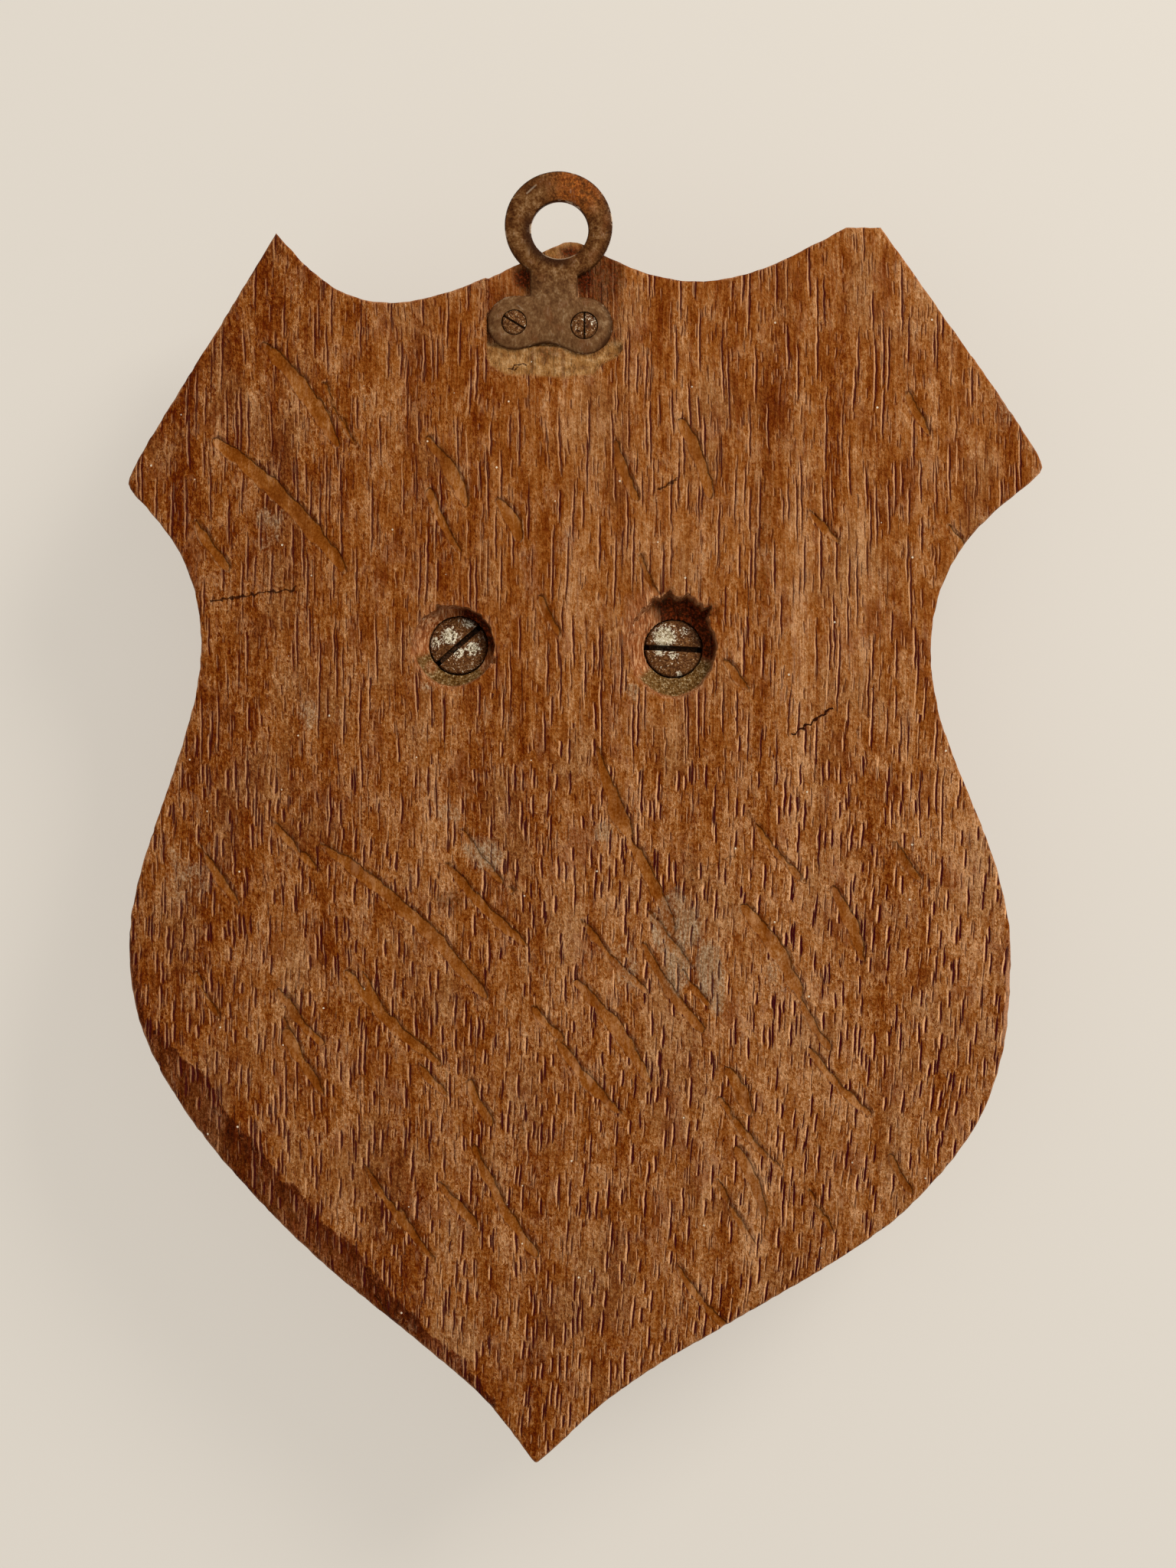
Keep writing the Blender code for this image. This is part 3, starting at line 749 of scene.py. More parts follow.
def make_screw(node, name, slot_turn, wear, slot_width, slot_depth, shank, pitch):
    """A slotted countersunk wood screw with a real thread and a gimlet point."""
    centre, near, far = centre_of(node)
    radius = radius_of(node)
    crown = CROWN * radius
    rim_depth = near + crown
    half = slot_width / 2
    lip = LIP * radius
    edge_land = EDGE_LAND * radius

    def body_radius(depth):
        return np.clip(radius - np.maximum(depth - rim_depth - edge_land, 0) * CONE_SLOPE, shank, radius)

    low_radius = float(body_radius(np.array(near + slot_depth)))
    turn = math.radians(slot_turn)
    along = np.array((math.cos(turn), math.sin(turn)))
    across = np.array((-math.sin(turn), math.cos(turn)))
    ring = []
    for way in (1, -1):
        for offset in (-(half - lip), 0.0, half - lip):
            ring.append((way * math.sqrt(low_radius**2 - offset**2), way * offset))
        open_turn = math.asin(half / radius)
        for k in range(ARC_POINTS):
            angle = open_turn + (math.pi - 2 * open_turn) * k / (ARC_POINTS - 1)
            ring.append((way * radius * math.cos(angle), way * radius * math.sin(angle)))
    ring = np.array(ring)

    def turned(points):
        """Places on the board of points given along and across the slot."""
        return np.array(centre) + points[:, :1] * along + points[:, 1:] * across

    def head_depth(points):
        """Depth of the head's face at points given along and across its slot."""
        away = lengths(points)
        seed = int(abs(centre[0]) * 10)
        depth = near + crown * (away / radius) ** 2
        depth += 0.10 * radius * smooth(0.91 * radius, 1.02 * radius, away) ** 2
        x, y = points.T
        depth += 0.010 * radius * rough(x * 4.4 / radius, y * 4.4 / radius, 1.3, 140 + seed)
        slot = np.abs(y) < half - 0.5 * lip
        burr = smooth(half + 3 * lip, half, np.abs(y)) * ~slot
        depth += burr * 0.018 * radius * (0.6 + rough(x * 4.4 / radius, y, 0.9, 150 + seed))
        return np.where(slot, near + slot_depth, np.maximum(depth, near))

    step = radius / GRID_STEPS
    grid = lattice_inside(ring[np.argsort(np.arctan2(ring[:, 1], ring[:, 0]))], step)
    grid = grid[lengths(grid) < 0.94 * radius]
    grid = grid[np.abs(np.abs(grid[:, 1]) - half) > step * 0.6]
    inner = circle((0, 0), radius * 0.955, turns(HEAD_SIDES))
    inner = inner[np.abs(np.abs(inner[:, 1]) - half) > step * 0.3]
    beside = [grid, inner[np.abs(inner[:, 1]) > half]]
    for offset in (half, half - lip, -half, lip - half, half + 2.5 * lip, -half - 2.5 * lip):
        limit = radius * 0.985 if abs(offset) >= half else low_radius
        reach = math.sqrt(limit**2 - offset**2) - step * 0.5
        place = np.arange(-reach, reach, step * 0.7)
        beside.append(np.column_stack((place, np.full(len(place), offset))))
    grid = np.vstack(beside)
    grid = grid[(np.abs(grid[:, 1]) > half - 0.5 * lip) | (lengths(grid) < low_radius - step * 0.3)]
    everything, faces = triangulate(grid, [ring])
    depth = head_depth(everything)
    placed = turned(everything)
    screw = Solid()
    in_slot = smooth(near + 0.25 * slot_depth, near + 0.8 * slot_depth, depth)
    place = (placed - np.array(centre)) / radius
    # Painted shade round the edge of the head at its lower left, and painted shade with darker rust on the
    # upper right of the large heads
    rim = radius - lengths(everything) + 0.3 * smooth(-0.3, 0.4, place @ (0.7, 0.7))
    shade = (radius > 4) * smooth(0.45, 1.0, place @ (0.85, 0.53))
    face = screw.add(at(placed, depth), wear=wear(placed), head=1.0, rim=rim, slot=in_slot, shade=shade)
    screw.surface(face[faces], flip=False)

    count = len(ring)
    upper = face[:count]
    start = depth[:count]
    angle = np.arctan2(ring[:, 1], ring[:, 0])
    cone_end = rim_depth + edge_land + (radius - shank) / CONE_SLOPE
    plain_end = near + (far - near) * PLAIN_SHARE
    point_length = POINT_LENGTH * shank
    core = THREAD_CORE * shank
    levels = [
        *np.linspace(rim_depth + edge_land, cone_end, 5),
        *np.linspace(cone_end, plain_end, 4)[1:],
        *np.arange(plain_end, far - 0.02, pitch / TURN_ROWS)[1:],
    ]
    for number, level in enumerate(levels):
        depth_here = np.maximum(level, start + 0.05 * (number + 1))
        reach = body_radius(depth_here)
        crest = 0.0
        if level > cone_end:
            threaded = smooth(plain_end - 0.3, plain_end + 1.2 * pitch, level)
            phase = (level / pitch - angle / math.tau) % 1.0
            ridge = np.clip(1 - np.abs(phase - 0.5) / 0.30, 0, 1) ** 0.9
            taper = min(1.0, (far - level) / point_length) ** 0.75
            thread = core + (shank - core) * ridge
            reach = (shank * 0.985 * (1 - threaded) + thread * threaded) * taper
            crest = ridge * threaded
        row = turned(circle((0, 0), reach, angle))
        lower = screw.add(at(row, depth_here), wear=0.0, head=0.0, rim=1.0, crest=crest)
        screw.band(upper, lower)
        upper = lower
    tip = screw.add(at(np.array([centre]), far), wear=0.0, head=0.0, rim=1.0, crest=0.0)
    screw.faces += [[a, b, tip[0]] for a, b in zip(upper, np.roll(upper, -1))]
    return screw.build(name, sharp=42.0)


def linear(red, green, blue):
    """A colour as the eye or a photograph gives it, from 0 to 255, for a shader."""
    def one(value):
        value /= 255
        return value / 12.92 if value <= 0.04045 else ((value + 0.055) / 1.055) ** 2.4
    return one(red), one(green), one(blue), 1.0


class Shader:
    """A material and short ways to add its nodes."""

    def __init__(self, name, specular, tint):
        self.material = bpy.data.materials.new(name)
        self.material.use_nodes = True
        self.tree = self.material.node_tree
        self.inputs = self.tree.nodes["Principled BSDF"].inputs
        self.inputs["Specular IOR Level"].default_value = specular
        self.inputs["Specular Tint"].default_value = linear(*tint)
        place = self.tree.nodes.new("ShaderNodeTexCoord").outputs["Object"]
        self.place = self.vector("SCALE", place, scale=1 / MM)

    def node(self, kind, inputs=(), **settings):
        node = self.tree.nodes.new("ShaderNode" + kind)
        for key, value in settings.items():
            setattr(node, key, value)
        for key, value in dict(inputs).items():
            self.feed(node.inputs[key], value)
        return node

    def feed(self, socket, value):
        if isinstance(value, bpy.types.NodeSocket):
            self.tree.links.new(value, socket)
        else:
            socket.default_value = value

    def math(self, operation, first, second=0.0, third=0.0, clamp=False):
        inputs = {0: first, 1: second, 2: third}
        return self.node("Math", inputs, operation=operation, use_clamp=clamp).outputs[0]

    def times(self, first, second, clamp=False):
        return self.math("MULTIPLY", first, second, clamp=clamp)

    def times_plus(self, first, second, third):
        return self.math("MULTIPLY_ADD", first, second, third)

    def plus(self, first, second, clamp=False):
        return self.math("ADD", first, second, clamp=clamp)

    def minus(self, first, second, clamp=False):
        return self.math("SUBTRACT", first, second, clamp=clamp)

    def without(self, value, clamp=False):
        return self.minus(1.0, value, clamp)

    def most(self, first, second):
        return self.math("MAXIMUM", first, second)

    def sway(self, value, share, base):
        """The base, moved by a share of how far a value from 0 to 1 is from its middle."""
        return self.times_plus(self.minus(value, 0.5), share, base)

    def vector(self, operation, first, second=(0, 0, 0), scale=1.0):
        node = self.node("VectorMath", {0: first, 1: second, 3: scale}, operation=operation)
        return node.outputs["Value" if operation in ("LENGTH", "DOT_PRODUCT", "DISTANCE") else "Vector"]

    def attribute(self, name):
        return self.node("Attribute", attribute_name=name).outputs["Fac"]

    def noise(self, size, detail=2.0, roughness=0.5, place=None, distortion=0.0):
        """Noise from 0 to 1 whose features have the given size along right, depth and up."""
        scaled = self.vector("DIVIDE", place or self.place, size)
        inputs = {"Vector": scaled, "Scale": 1.0, "Detail": detail, "Roughness": roughness,
                  "Distortion": distortion}
        return self.node("TexNoise", inputs).outputs["Fac"]

    def step(self, value, low, high, start=0.0, end=1.0):
        """Smooth change from start to end as the value goes from low to high."""
        inputs = {"Value": value, "From Min": low, "From Max": high, "To Min": start, "To Max": end}
        return self.node("MapRange", inputs, interpolation_type="SMOOTHSTEP").outputs["Result"]

    def ramp(self, value, stops):
        """A colour for the value, from a list of positions and colours."""
        node = self.node("ValToRGB", {"Fac": value})
        elements = node.color_ramp.elements
        while len(elements) < len(stops):
            elements.new(1.0)
        for element, (position, colour) in zip(elements, stops):
            element.position = position
            element.color = linear(*colour)
        return node.outputs["Color"]

    def mix(self, share, first, second, blend="MIX"):
        node = self.node("Mix", data_type="RGBA", blend_type=blend)
        for key, value in ((0, share), (6, first), (7, second)):
            if isinstance(value, tuple):
                value = linear(*value)
            self.feed(node.inputs[key], value)
        return node.outputs[2]

    def cells(self, size, place=None):
        """Offset from the nearest random point, in cells, and a random colour for that point."""
        scaled = self.vector("DIVIDE", place or self.place, size)
        node = self.node("TexVoronoi", {"Vector": scaled, "Scale": 1.0, "Randomness": 1.0})
        return self.vector("SUBTRACT", scaled, node.outputs["Position"]), node.outputs["Color"]

    def line(self, start, end, half, place):
        """How near each point lies to a line on the back between two pixels of the photograph."""
        (x0, z0), (x1, z1) = pixel(*start), pixel(*end)
        first = self.vector("SUBTRACT", place, (-x0, 0, z0))
        along = (x0 - x1, 0, z1 - z0)
        square = along[0] ** 2 + along[2] ** 2
        share = self.math("DIVIDE", self.vector("DOT_PRODUCT", first, along), square, clamp=True)
        foot = self.vector("SCALE", along, scale=share)
        return self.step(self.vector("DISTANCE", first, foot), half, 0.4 * half)

    def split(self, vector):
        return self.node("SeparateXYZ", {0: vector}).outputs

    def finish(self, colour, height, roughness, metallic=0.0):
        """The finished material. Its height is in millimetres."""
        self.feed(self.inputs["Base Color"], colour)
        bump = self.node("Bump", {"Height": height, "Distance": MM, "Strength": 1.0})
        self.feed(self.inputs["Normal"], bump.outputs["Normal"])
        self.feed(self.inputs["Roughness"], roughness)
        self.feed(self.inputs["Metallic"], metallic)
        return self.material


def pores(oak, place, size, half_width, half_length, keep):
    """How much each point lies in an open vessel of the wood, on its left edge where a highlight is
    painted, and in the painted shade beside it.
    """
    offset, random = oak.cells(size, place)
    x, y, z = oak.split(offset)
    r, g, b = oak.split(random)
    longest = half_length / size[2]
    reach = oak.times_plus(r, 0.75 * longest, 0.45 * longest)
    ends = oak.math("POWER", oak.math("DIVIDE", oak.math("ABSOLUTE", z), reach), 3.0)
    body = oak.without(ends, clamp=True)
    width = oak.times(oak.times_plus(g, 0.5 * half_width, 0.72 * half_width), body)
    found = oak.math("LESS_THAN", b, keep)
    deep = oak.math("POWER", oak.times(oak.times(y, size[1]), 0.8), 2.0)
    masks = []
    for shift, grow in ((0.0, 1.0), (-1.9 * half_width, 0.9), (0.4 * half_width, 2.6)):
        across = oak.times_plus(x, size[0], shift)
        away = oak.math("SQRT", oak.plus(oak.math("POWER", across, 2.0), deep))
        share = oak.math("DIVIDE", away, oak.most(oak.times(width, grow), 0.001))
        masks.append(oak.times(oak.step(share, 1.15, 0.65), found))
    return masks


# Cracks and scratches: the two ends in pixels, the half width in millimetres, the strength
SCRATCHES = [
    ((275, 784), (385, 769), 0.3, 0.9), ((1035, 960), (1087, 925), 0.36, 1.0),
    ((860, 640), (884, 626), 0.32, 0.85), ((664, 482), (687, 474), 0.22, 0.95),
    ((900, 1140), (960, 1118), 0.16, 0.5),
]


def make_oak():
    oak = Shader("oak", specular=0.09, tint=(255, 190, 120))
    x, y, z = oak.split(oak.place)

    # The lines of the grain waver, and lean over towards the tip
    below = oak.math("MINIMUM", oak.plus(z, 60.0), 0.0)
    side = oak.step(x, 40.0, -90.0, 0.15, 1.0)
    lean = oak.times(oak.times(oak.math("POWER", below, 2.0), 0.00042), side)
    waver = oak.times(oak.minus(oak.noise((14.0, 14.0, 30.0), 1.0), 0.5), 2.2)
    ripple = oak.times(oak.minus(oak.noise((1.6, 1.6, 2.6), 1.0), 0.5), 0.5)
    across = oak.plus(oak.plus(oak.minus(x, lean), waver), ripple)
    grain = oak.node("CombineXYZ", {0: across, 1: y, 2: z}).outputs[0]

    # Layers of the tone, from 0 for dark to 1 for light
    large = oak.noise((26.0, 26.0, 44.0), 2.0)
    streak = oak.noise((1.3, 1.3, 22.0), 2.0, 0.55, grain)
    fibre = oak.noise((0.24, 0.24, 5.5), 1.0, 0.5, grain)
    crease = oak.minus(oak.noise((0.62, 0.62, 1.5), 2.0, 0.5, grain, 0.6), 0.5)
    crease = oak.minus(oak.step(oak.math("ABSOLUTE", crease), 0.05, 0.0),
                       oak.step(oak.math("ABSOLUTE", oak.minus(crease, 0.075)), 0.05, 0.0))
    crinkle = oak.noise((0.42, 0.42, 0.56), 2.0, 0.6, distortion=0.4)
    band = oak.noise((6.0, 6.0, 80.0), 2.0, 0.5, grain)
    stroke = oak.noise((0.8, 0.8, 2.0), 2.0, 0.6, grain)
    patch = oak.noise((4.2, 4.2, 7.0), 3.0, 0.62, distortion=0.4)
    fleck = oak.attribute("fleck")
    torn = oak.attribute("torn")
    front = oak.attribute("front")
    back = oak.without(front)
    quiet = oak.times_plus(oak.most(front, oak.attribute("cheek")), -0.6, 1.0)
    in_fleck = oak.step(oak.times_plus(stroke, 0.5, oak.minus(fleck, 0.25)), 0.22, -0.16)

    rugged = oak.plus(oak.step(z, -60.0, -125.0, 0.66, 1.0), oak.step(x, 5.0, 65.0, 0.0, 0.35), clamp=True)
    tone = oak.sway(stroke, 0.36, 0.545)
    for part, share in ((streak, 0.40), (fibre, 0.42), (large, 0.44), (patch, 0.5),
                        (crinkle, oak.times(rugged, 0.92)), (band, 0.7)):
        tone = oak.sway(part, share, tone)
    tone = oak.times_plus(crease, oak.times(rugged, oak.step(patch, 0.4, 0.58, 0.08, 0.25)), tone)
    tone = oak.plus(tone, oak.step(x, 85.0, -60.0, -0.06, 0.06))
    tone = oak.plus(tone, oak.step(z, -190.0, -225.0, 0.0, -0.1))
    tone = oak.plus(tone, oak.step(z, -110.0, -10.0, 0.0, -0.08))
    tone = oak.plus(tone, oak.times(oak.minus(tone, 0.47), oak.times(front, -0.55)))
    colour = oak.ramp(tone, [
        (0.06, (70, 10, 0)), (0.26, (98, 36, 0)), (0.40, (122, 60, 11)), (0.54, (145, 83, 31)),
        (0.70, (166, 110, 62)), (0.92, (204, 150, 104)),
    ])
    grey = oak.step(oak.noise((15.0, 15.0, 24.0), 2.0, 0.6), 0.5, 0.66, 0.0, 0.30)
    ashen = oak.ramp(tone, [(0.2, (92, 52, 20)), (0.5, (136, 96, 58)), (0.8, (176, 136, 96))])
    colour = oak.mix(grey, colour, ashen)
    red = oak.sway(stroke, 0.25, oak.noise((8.0, 8.0, 14.0), 3.0, 0.65))
    ruddy = oak.ramp(tone, [(0.2, (62, 10, 0)), (0.7, (118, 52, 12))])
    colour = oak.mix(oak.step(red, 0.54, 0.66, 0.0, 0.6), colour, ruddy)

    # Flecks, with painted shade along their grooved outline and a painted shadow along their upper right
    # side
    flat = oak.sway(crinkle, 0.35, patch)
    flat = oak.ramp(flat, [(0.3, (98, 42, 0)), (0.5, (128, 68, 14)), (0.7, (156, 96, 38))])
    colour = oak.mix(oak.times(in_fleck, 0.66), colour, flat)
    outline = oak.times(oak.step(fleck, 0.5, 0.1), oak.without(in_fleck))
    ridge = oak.step(oak.noise((0.6, 0.6, 2.2), 2.0, 0.5), 0.50, 0.58)
    painted_groove_shade = oak.times(outline, oak.times_plus(ridge, -0.6, 0.6))
    painted_fleck_shadow = oak.times(oak.step(oak.attribute("painted_fleck_shadow"), 0.2, -0.15), oak.without(in_fleck))
    painted_groove_shade = oak.most(painted_groove_shade, oak.times(painted_fleck_shadow, oak.step(patch, 0.42, 0.56, 0.25, 0.75)))
    colour = oak.mix(painted_groove_shade, colour, (66, 17, 0))

    # Pale torn flakes, and a painted highlight along the side of each fleck's outline away from its
    # painted shadow
    torn_flake_and_highlight = oak.times_plus(torn, 0.9, oak.step(patch, 0.46, 0.66, 0.0, 0.55))
    torn_flake_and_highlight = oak.most(torn_flake_and_highlight, oak.minus(outline, painted_fleck_shadow, clamp=True))
    torn_flake_and_highlight = oak.times(oak.times(torn_flake_and_highlight, ridge, clamp=True), quiet)
    colour = oak.mix(oak.times(torn_flake_and_highlight, 0.6), colour, (198, 144, 98))

    # Dark stain
    wet = oak.sway(patch, 4.0, oak.attribute("stain"))
    wet = oak.sway(stroke, 2.2, wet)
    stained = oak.times(oak.step(wet, 0.0, 0.35), oak.step(wet, 4.0, 0.5, 0.74, 1.0))
    soaked = oak.ramp(tone, [(0.15, (30, 0, 0)), (0.5, (68, 17, 0)), (0.85, (120, 58, 24))])
    colour = oak.mix(oak.times(stained, 0.92), colour, soaked)

    # Vessels, long ones high up and shorter ones below: the size of their cells, their half width and half
    # length, how many there are and how strong they look
    keep = oak.times(oak.step(streak, 0.34, 0.56, 0.5, 1.0), oak.without(in_fleck))
    high = oak.step(oak.times_plus(large, 60.0, z), -95.0, -60.0)
    dark, painted_highlight, beside = 0.0, 0.0, 0.0
    for size, half, length, kept, share in (
        ((1.15, 0.72, 14.0), 0.17, 7.2, oak.times(keep, high), 1.0),
        ((1.0, 0.72, 6.2), 0.205, 2.9, oak.times(keep, oak.without(high)), 1.0),
        ((0.74, 0.5, 4.2), 0.12, 1.9, oak.times(keep, 0.75), 0.7),
    ):
        masks = pores(oak, grain, size, half, length, kept)
        dark, painted_highlight, beside = (
            oak.most(total, oak.times(mask, share)) for total, mask in zip((dark, painted_highlight, beside), masks)
        )
    strong = oak.times(oak.step(x, 70.0, -50.0, 0.6, 1.0), oak.step(z, -50.0, -130.0, 0.68, 1.0))
    # Painted shade beside each vessel, a little to its right, and a painted highlight along its left edge
    colour = oak.mix(oak.times(beside, oak.times(quiet, 0.32)), colour, (96, 28, 0))
    highlight_strength = oak.times(strong, oak.times_plus(stained, -0.55, 1.0))
    colour = oak.mix(oak.times(oak.times(painted_highlight, highlight_strength), quiet), colour, (228, 168, 116))
    colour = oak.mix(oak.times(dark, oak.times_plus(strong, 0.35, 0.65)), colour, (58, 0, 12))

    # Dust in the smudges
    dust = oak.sway(patch, 1.6, oak.attribute("dust"))
    dust = oak.sway(crinkle, 0.8, dust)
    dust = oak.times(oak.step(dust, 0.2, 0.95), oak.step(fibre, 0.34, 0.56, 0.4, 1.0))
    dust = oak.times(dust, oak.times_plus(dark, -0.8, 1.0))
    powder = oak.ramp(crinkle, [(0.3, (116, 78, 44)), (0.5, (156, 122, 88)), (0.7, (190, 164, 134))])
    colour = oak.mix(oak.times(dust, 0.88), colour, powder)

    # Dirt in the wells, the chiselled wood, the torn rims, and painted shade in the wells and the shaded
    # patches
    grime = oak.attribute("grime")
    grit = oak.noise((0.5, 0.5, 0.5), 3.0, 0.75)
    dirt = oak.ramp(grit, [
        (0.32, (44, 20, 2)), (0.46, (100, 68, 28)), (0.55, (128, 96, 52)), (0.64, (190, 164, 122)),
    ])
    colour = oak.mix(oak.times(grime, 0.92), colour, dirt)
    cut = oak.sway(grit, 0.5, oak.noise((1.5, 1.5, 1.5), 3.0, 0.6))
    cut = oak.ramp(cut, [
        (0.3, (96, 60, 24)), (0.45, (136, 96, 48)), (0.55, (158, 116, 64)), (0.72, (196, 158, 110)),
    ])
    colour = oak.mix(oak.times(oak.attribute("chisel"), 0.85), colour, cut)
    split = oak.noise((0.36, 0.36, 2.6), 3.0, 0.65, grain)
    raw = oak.ramp(split, [(0.36, (104, 42, 10)), (0.5, (156, 92, 50)), (0.64, (218, 166, 120))])
    colour = oak.mix(oak.times(oak.attribute("bare"), 0.75), colour, raw)
    # Painted shade, with some darker wood in the shaded patches
    gloom = oak.ramp(grit, [(0.38, (12, 0, 0)), (0.52, (58, 8, 0)), (0.64, (120, 44, 14))])
    colour = oak.mix(oak.times(oak.attribute("dark"), 0.95), colour, gloom)

    # Cracks, and pale specks painted as tiny glints
    wobble = oak.times(oak.minus(oak.noise((1.2, 1.2, 1.2), 2.0), 0.5), 2.4)
    bent = oak.vector("ADD", oak.vector("MULTIPLY", oak.place, (1, 0, 1)),
                      oak.node("CombineXYZ", {2: wobble}).outputs[0])
    for start, end, half, strength in SCRATCHES:
        mark = oak.times(oak.line(start, end, half, bent), back)
        colour = oak.mix(oak.times(mark, strength), colour, (36, 4, 0))

    speck, _ = oak.cells((5.5, 5.5, 5.5))
    seen = oak.math("LESS_THAN", oak.vector("LENGTH", speck), 0.036)
    colour = oak.mix(oak.times(seen, back), colour, (226, 206, 178))

    # Worn rim with one long chip, and the waxed front
    rim = oak.attribute("rim")
    chipped = oak.times(oak.step(z, -136.0, -142.0), oak.step(z, -156.0, -152.0))
    chipped = oak.times(chipped, oak.step(x, -60.0, -62.0))
    chipped = oak.times(oak.times(chipped, oak.step(rim, 1.0, 0.6)), back)
    grey_rim = oak.times(oak.step(rim, 0.45, 0.0), oak.step(patch, 0.4, 0.6, 0.0, 0.5))
    colour = oak.mix(oak.most(grey_rim, oak.times(chipped, 0.75)), colour, (192, 138, 100))
    waxed = oak.mix(1.0, colour, (196, 176, 150), "MULTIPLY")
    colour = oak.mix(oak.times(front, 0.8), colour, waxed)

    # Height and gloss
    height = oak.times(dark, -0.16)
    for part, share in ((crinkle, oak.times(rugged, 0.36)), (stroke, 0.32), (fibre, 0.08), (torn_flake_and_highlight, 0.12),
                        (painted_highlight, 0.05)):
        height = oak.times_plus(part, share, height)
    height = oak.times(height, oak.times_plus(in_fleck, -0.7, quiet))
    height = oak.times_plus(in_fleck, -0.16, height)
    height = oak.times_plus(oak.times(grit, grime), 0.5, height)
    gloss = oak.step(stroke, 0.3, 0.7, 0.42, 0.62)
    gloss = oak.times_plus(in_fleck, -0.1, gloss)
    gloss = oak.times_plus(oak.most(dust, grime), 0.3, gloss)
    gloss = oak.times_plus(front, -0.14, gloss)
    return oak.finish(colour, height, gloss)


# Bright nicks of the hanger: their two ends in pixels
NICKS = [((688, 252), (700, 241)), ((762, 318), (768, 311)), ((789, 311), (793, 302)),
         ((676, 398), (683, 404))]


def make_hanger_steel():
    steel = Shader("hanger_steel", specular=0.15, tint=(255, 214, 170))
    x, _, z = steel.split(steel.place)
    rim = steel.attribute("rim")
    eye = steel.attribute("eye")
    cloud = steel.noise((1.7, 1.7, 1.7), 4.0, 0.6)
    fine = steel.noise((0.42, 0.42, 0.42), 3.0, 0.7)
    # A painted highlight in a band round the eye, along the middle of the ring
    middle = steel.step(steel.math("ABSOLUTE", steel.minus(eye, 2.5)), 1.5, 0.0, 0.0, 0.1)
    tone = steel.plus(steel.times_plus(cloud, 0.8, 0.07), middle)
    tone = steel.sway(fine, 0.6, tone)
    colour = steel.ramp(tone, [
        (0.25, (44, 14, 0)), (0.42, (82, 44, 14)), (0.56, (108, 70, 34)), (0.75, (148, 110, 72)),
    ])
    dusty = steel.step(z, -6.0, -14.0, 0.0, 0.8)
    powder = steel.ramp(tone, [(0.28, (88, 54, 28)), (0.5, (116, 82, 50)), (0.7, (148, 118, 84))])
    colour = steel.mix(dusty, colour, powder)
    rust_place = steel.vector("DISTANCE", steel.place, (-3.6, 0.0, 8.0))
    rust = steel.times(steel.step(rust_place, 7.5, 2.0), steel.step(cloud, 0.4, 0.56, 0.25, 1.0))
    orange = steel.ramp(fine, [(0.3, (84, 28, 0)), (0.5, (128, 62, 12)), (0.66, (178, 98, 30))])
    colour = steel.mix(steel.times(rust, 0.9), colour, orange)
    spread = steel.times(steel.step(steel.noise((3.4, 3.4, 3.4), 3.0, 0.6), 0.52, 0.66), 0.55)
    colour = steel.mix(spread, colour, (92, 44, 12))

    # Painted shade round rims and eye, painted highlights on rims and eye bottom, hairlines and nicks
    edge = steel.step(rim, 0.34, 0.05)
    above = steel.step(z, -2.0, 4.0)
    painted_shade = steel.times(edge, steel.times_plus(above, 0.5, 0.35))
    lower_left = steel.step(steel.plus(x, steel.times(z, -0.9)), 1.0, 5.5)
    near_eye = steel.times(steel.step(eye, 2.6, 0.4), steel.times(lower_left, 0.95))
    outer_right = steel.times(steel.step(rim, 1.3, 0.1), steel.step(x, -6.0, -9.0, 0.0, 0.75))
    painted_shade = steel.most(steel.most(painted_shade, outer_right), near_eye)
    colour = steel.mix(painted_shade, colour, (40, 14, 2))
    # A painted highlight along the bottom of the eye, and on some rims
    bottom = steel.times(steel.step(z, -4.4, -5.2), steel.step(eye, 0.34, 0.1))
    painted_highlight = steel.most(steel.times(edge, steel.step(cloud, 0.56, 0.62)), bottom)
    colour = steel.mix(steel.times(painted_highlight, 0.7), colour, (192, 162, 130))
    hair = steel.noise((0.12, 0.12, 3.0), 2.0, 0.6)
    scratch = steel.step(steel.times(hair, steel.step(cloud, 0.45, 0.6)), 0.56, 0.66)
    colour = steel.mix(steel.times(scratch, 0.3), colour, (176, 148, 120))
    for start, end in NICKS:
        nick = steel.line(start, end, 0.35, steel.place)
        colour = steel.mix(steel.times(nick, 0.6), colour, (214, 190, 160))
    height = steel.times_plus(fine, 0.12, steel.times(cloud, 0.14))
    gloss = steel.step(tone, 0.3, 0.7, 0.62, 0.46)
    metal = steel.times_plus(rust, -0.15, 0.2)
    return steel.finish(colour, height, gloss, metal)


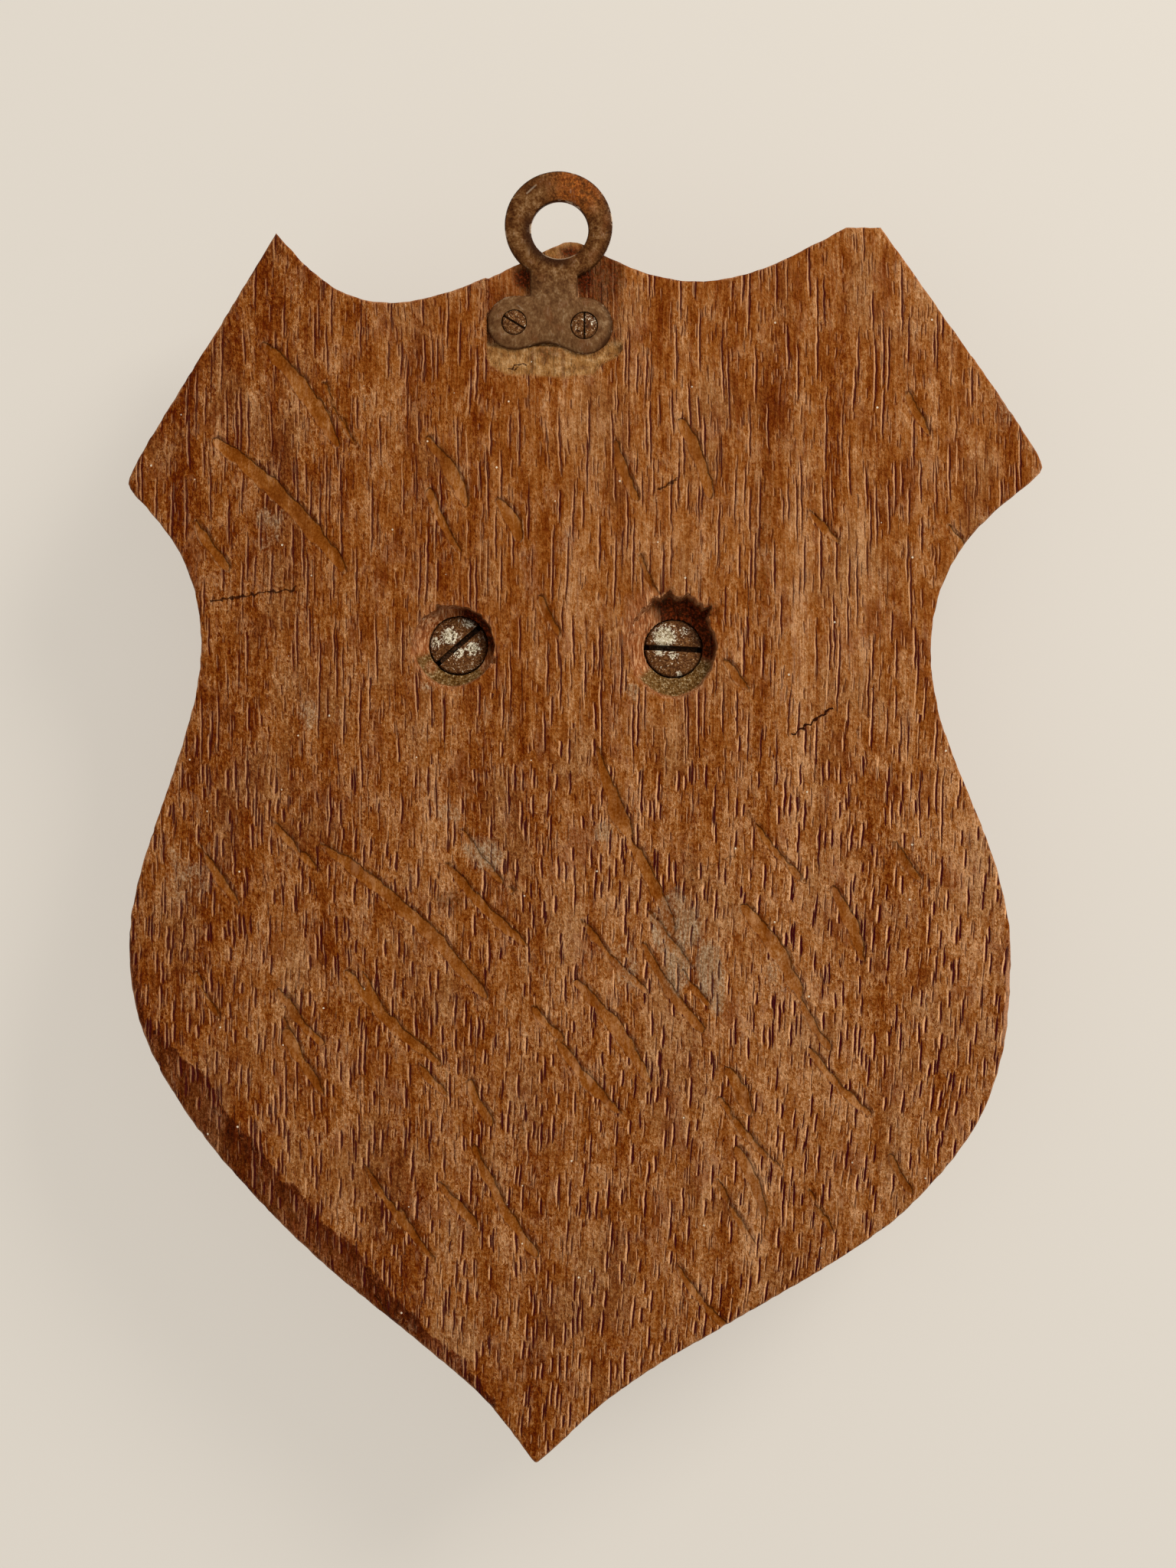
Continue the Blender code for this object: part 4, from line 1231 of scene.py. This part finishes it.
def make_screw_steel():
    steel = Shader("screw_steel", specular=0.3, tint=(255, 220, 180))
    wear = steel.attribute("wear")
    head = steel.attribute("head")
    shade = steel.attribute("shade")
    swirl = steel.noise((1.2, 1.2, 1.2), 4.0, 0.7, distortion=2.6)
    fine = steel.noise((0.4, 0.4, 0.4), 3.0, 0.7, distortion=0.8)
    tone = steel.sway(fine, 0.9, swirl)
    rusty = steel.ramp(tone, [
        (0.25, (36, 8, 0)), (0.42, (80, 40, 10)), (0.55, (116, 72, 32)), (0.75, (170, 128, 84)),
    ])
    bright = steel.ramp(tone, [
        (0.3, (84, 56, 24)), (0.40, (140, 116, 80)), (0.5, (196, 180, 146)), (0.62, (244, 234, 208)),
    ])
    bare = steel.sway(swirl, 2.6, wear)
    bare = steel.sway(fine, 2.0, bare)
    bare = steel.step(bare, 0.38, 0.60)
    colour = steel.mix(bare, rusty, bright)
    crest = steel.times(steel.attribute("crest"), steel.step(swirl, 0.4, 0.6))
    colour = steel.mix(steel.times(crest, 0.5), colour, (176, 150, 122))
    # Painted shade round the edge of the head at its lower left, and painted shade with darker rust on the
    # upper right of the large heads
    edge = steel.times(steel.step(steel.attribute("rim"), 0.26, 0.0), head)
    colour = steel.mix(steel.times(edge, 0.7), colour, (34, 10, 2))
    colour = steel.mix(steel.times(shade, steel.step(fine, 0.7, 0.4, 0.5, 0.92)), colour, (40, 6, 0))
    # Dark dirt in the slot, with painted shade near black where the head is shaded
    slot_dirt_and_shade = steel.mix(steel.times(steel.step(swirl, 0.46, 0.6), steel.without(shade)),
                       (12, 4, 1), (78, 42, 18))
    colour = steel.mix(steel.times(steel.attribute("slot"), 0.95), colour, slot_dirt_and_shade)
    height = steel.times_plus(fine, 0.1, steel.times(swirl, 0.26))
    gloss = steel.times_plus(bare, -0.16, 0.52)
    metal = steel.times_plus(bare, 0.25, 0.2)
    return steel.finish(colour, height, gloss, metal)


def spots(places, base=0.0):
    """Bare metal around some places of a screw's head: their pixels, reach in millimetres and strength."""
    def amount(points):
        total = np.full(len(points), base)
        for px, py, reach, strength in places:
            away = lengths(points - np.array(pixel(px, py)))
            total = np.maximum(total, base + strength * smooth(reach, 0.3 * reach, away))
        return total
    return amount


# Table, in metres, and the lights: their places, powers in watts and sizes in metres
TABLE_REACH = 3.0
TABLE_GAP = 0.0005
LIGHTS = [
    ("key", (-0.62, 0.58, 0.52), 8.6, 0.42),
    ("fill", (0.6, 0.9, -0.3), 1.2, 0.9),
    ("front_key", (-0.5, -0.9, 0.35), 9.0, 0.8),
]
LIT_PLACE = Vector((0, 0, -0.105))


def make_stage():
    """The pale table that the plaque lies on, seen from its upper side only, and the lights."""
    mesh = bpy.data.meshes.new("table")
    level = CAD_BOX[0][1] - TABLE_GAP
    corners = [(x * TABLE_REACH, level, z * TABLE_REACH) for x, z in ((-1, -1), (-1, 1), (1, 1), (1, -1))]
    mesh.from_pydata(corners, [], [(0, 1, 2, 3)])
    table = bpy.data.objects.new("table", mesh)
    bpy.context.scene.collection.objects.link(table)
    material = bpy.data.materials.new("pale_table")
    material.use_nodes = True
    nodes, links = material.node_tree.nodes, material.node_tree.links
    shader = nodes["Principled BSDF"]
    for key, value in (
        ("Base Color", linear(138, 134, 127)),
        ("Emission Color", linear(226, 217, 204)),
        ("Emission Strength", 0.66),
        ("Roughness", 0.9),
        ("Specular IOR Level", 0.1),
    ):
        shader.inputs[key].default_value = value
    clear = nodes.new("ShaderNodeBsdfTransparent")
    choose = nodes.new("ShaderNodeMixShader")
    links.new(nodes.new("ShaderNodeNewGeometry").outputs["Backfacing"], choose.inputs[0])
    links.new(shader.outputs[0], choose.inputs[1])
    links.new(clear.outputs[0], choose.inputs[2])
    links.new(choose.outputs[0], nodes["Material Output"].inputs["Surface"])
    mesh.materials.append(material)
    table.visible_shadow = False
    table.visible_diffuse = False
    table.visible_glossy = False
    world = bpy.data.worlds.new("studio")
    world.use_nodes = True
    background = world.node_tree.nodes["Background"]
    background.inputs["Color"].default_value = linear(246, 245, 243)
    background.inputs["Strength"].default_value = 0.54
    bpy.context.scene.world = world
    for name, place, power, size in LIGHTS:
        light = bpy.data.lights.new(name, "AREA")
        light.energy = power
        light.size = size
        light.color = linear(255, 251, 246)[:3]
        lamp = bpy.data.objects.new(name, light)
        lamp.location = place
        lamp.rotation_euler = (LIT_PLACE - Vector(place)).to_track_quat("-Z", "Y").to_euler()
        bpy.context.scene.collection.objects.link(lamp)


def make_camera():
    """The camera of the photograph, square to the back."""
    camera = bpy.data.cameras.new("camera")
    camera.sensor_fit = "VERTICAL"
    camera.angle = 2 * math.atan(FRAME_HEIGHT / 2 / CAMERA_DISTANCE)
    camera.clip_start = 0.01
    obj = bpy.data.objects.new("camera", camera)
    obj.location = at(np.array([pixel(*CENTRE_PIXEL)]), -CAMERA_DISTANCE)[0]
    obj.rotation_euler = (math.radians(90), 0, math.radians(180))
    bpy.context.scene.collection.objects.link(obj)
    bpy.context.scene.camera = obj


def dress(piece, node, material):
    piece.data.materials.append(material)
    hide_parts(node)
    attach(piece, "root")


bpy.context.scene.view_settings.view_transform = "Standard"
make_camera()
make_stage()
oak_material = make_oak()
hanger_material = make_hanger_steel()
screw_material = make_screw_steel()
dress(make_board(), "board", oak_material)
dress(make_plate(), "hanger_plate", hanger_material)

SMALL = dict(slot_width=0.42, slot_depth=0.6, shank=1.2, pitch=1.0)
LARGE = dict(slot_width=1.1, slot_depth=1.9, shank=2.7, pitch=2.3)
for node, name, size, slot_turn, wear in (
    ("hanger_screw_left", "small_screw_left", SMALL, -31.0, spots([])),
    ("hanger_screw_right", "small_screw_right", SMALL, 90.0, spots([(772, 416, 2.4, 0.3)])),
    ("antler_screw_left", "large_screw_left", LARGE, 41.0, spots([
        (586, 830, 2.4, 0.7), (617, 846, 1.9, 0.6), (567, 838, 1.6, 0.55), (611, 812, 1.6, 0.5),
        (598, 851, 1.5, 0.5),
    ], 0.05)),
    ("antler_screw_right", "large_screw_right", LARGE, -3.0, spots([
        (868, 831, 3.1, 0.95), (862, 849, 1.5, 0.65), (880, 854, 1.4, 0.55), (893, 824, 1.5, 0.4),
        (888, 880, 1.0, 0.6),
    ])),
):
    piece = make_screw(node, name, slot_turn, wear, **size)
    dress(piece, node, screw_material)
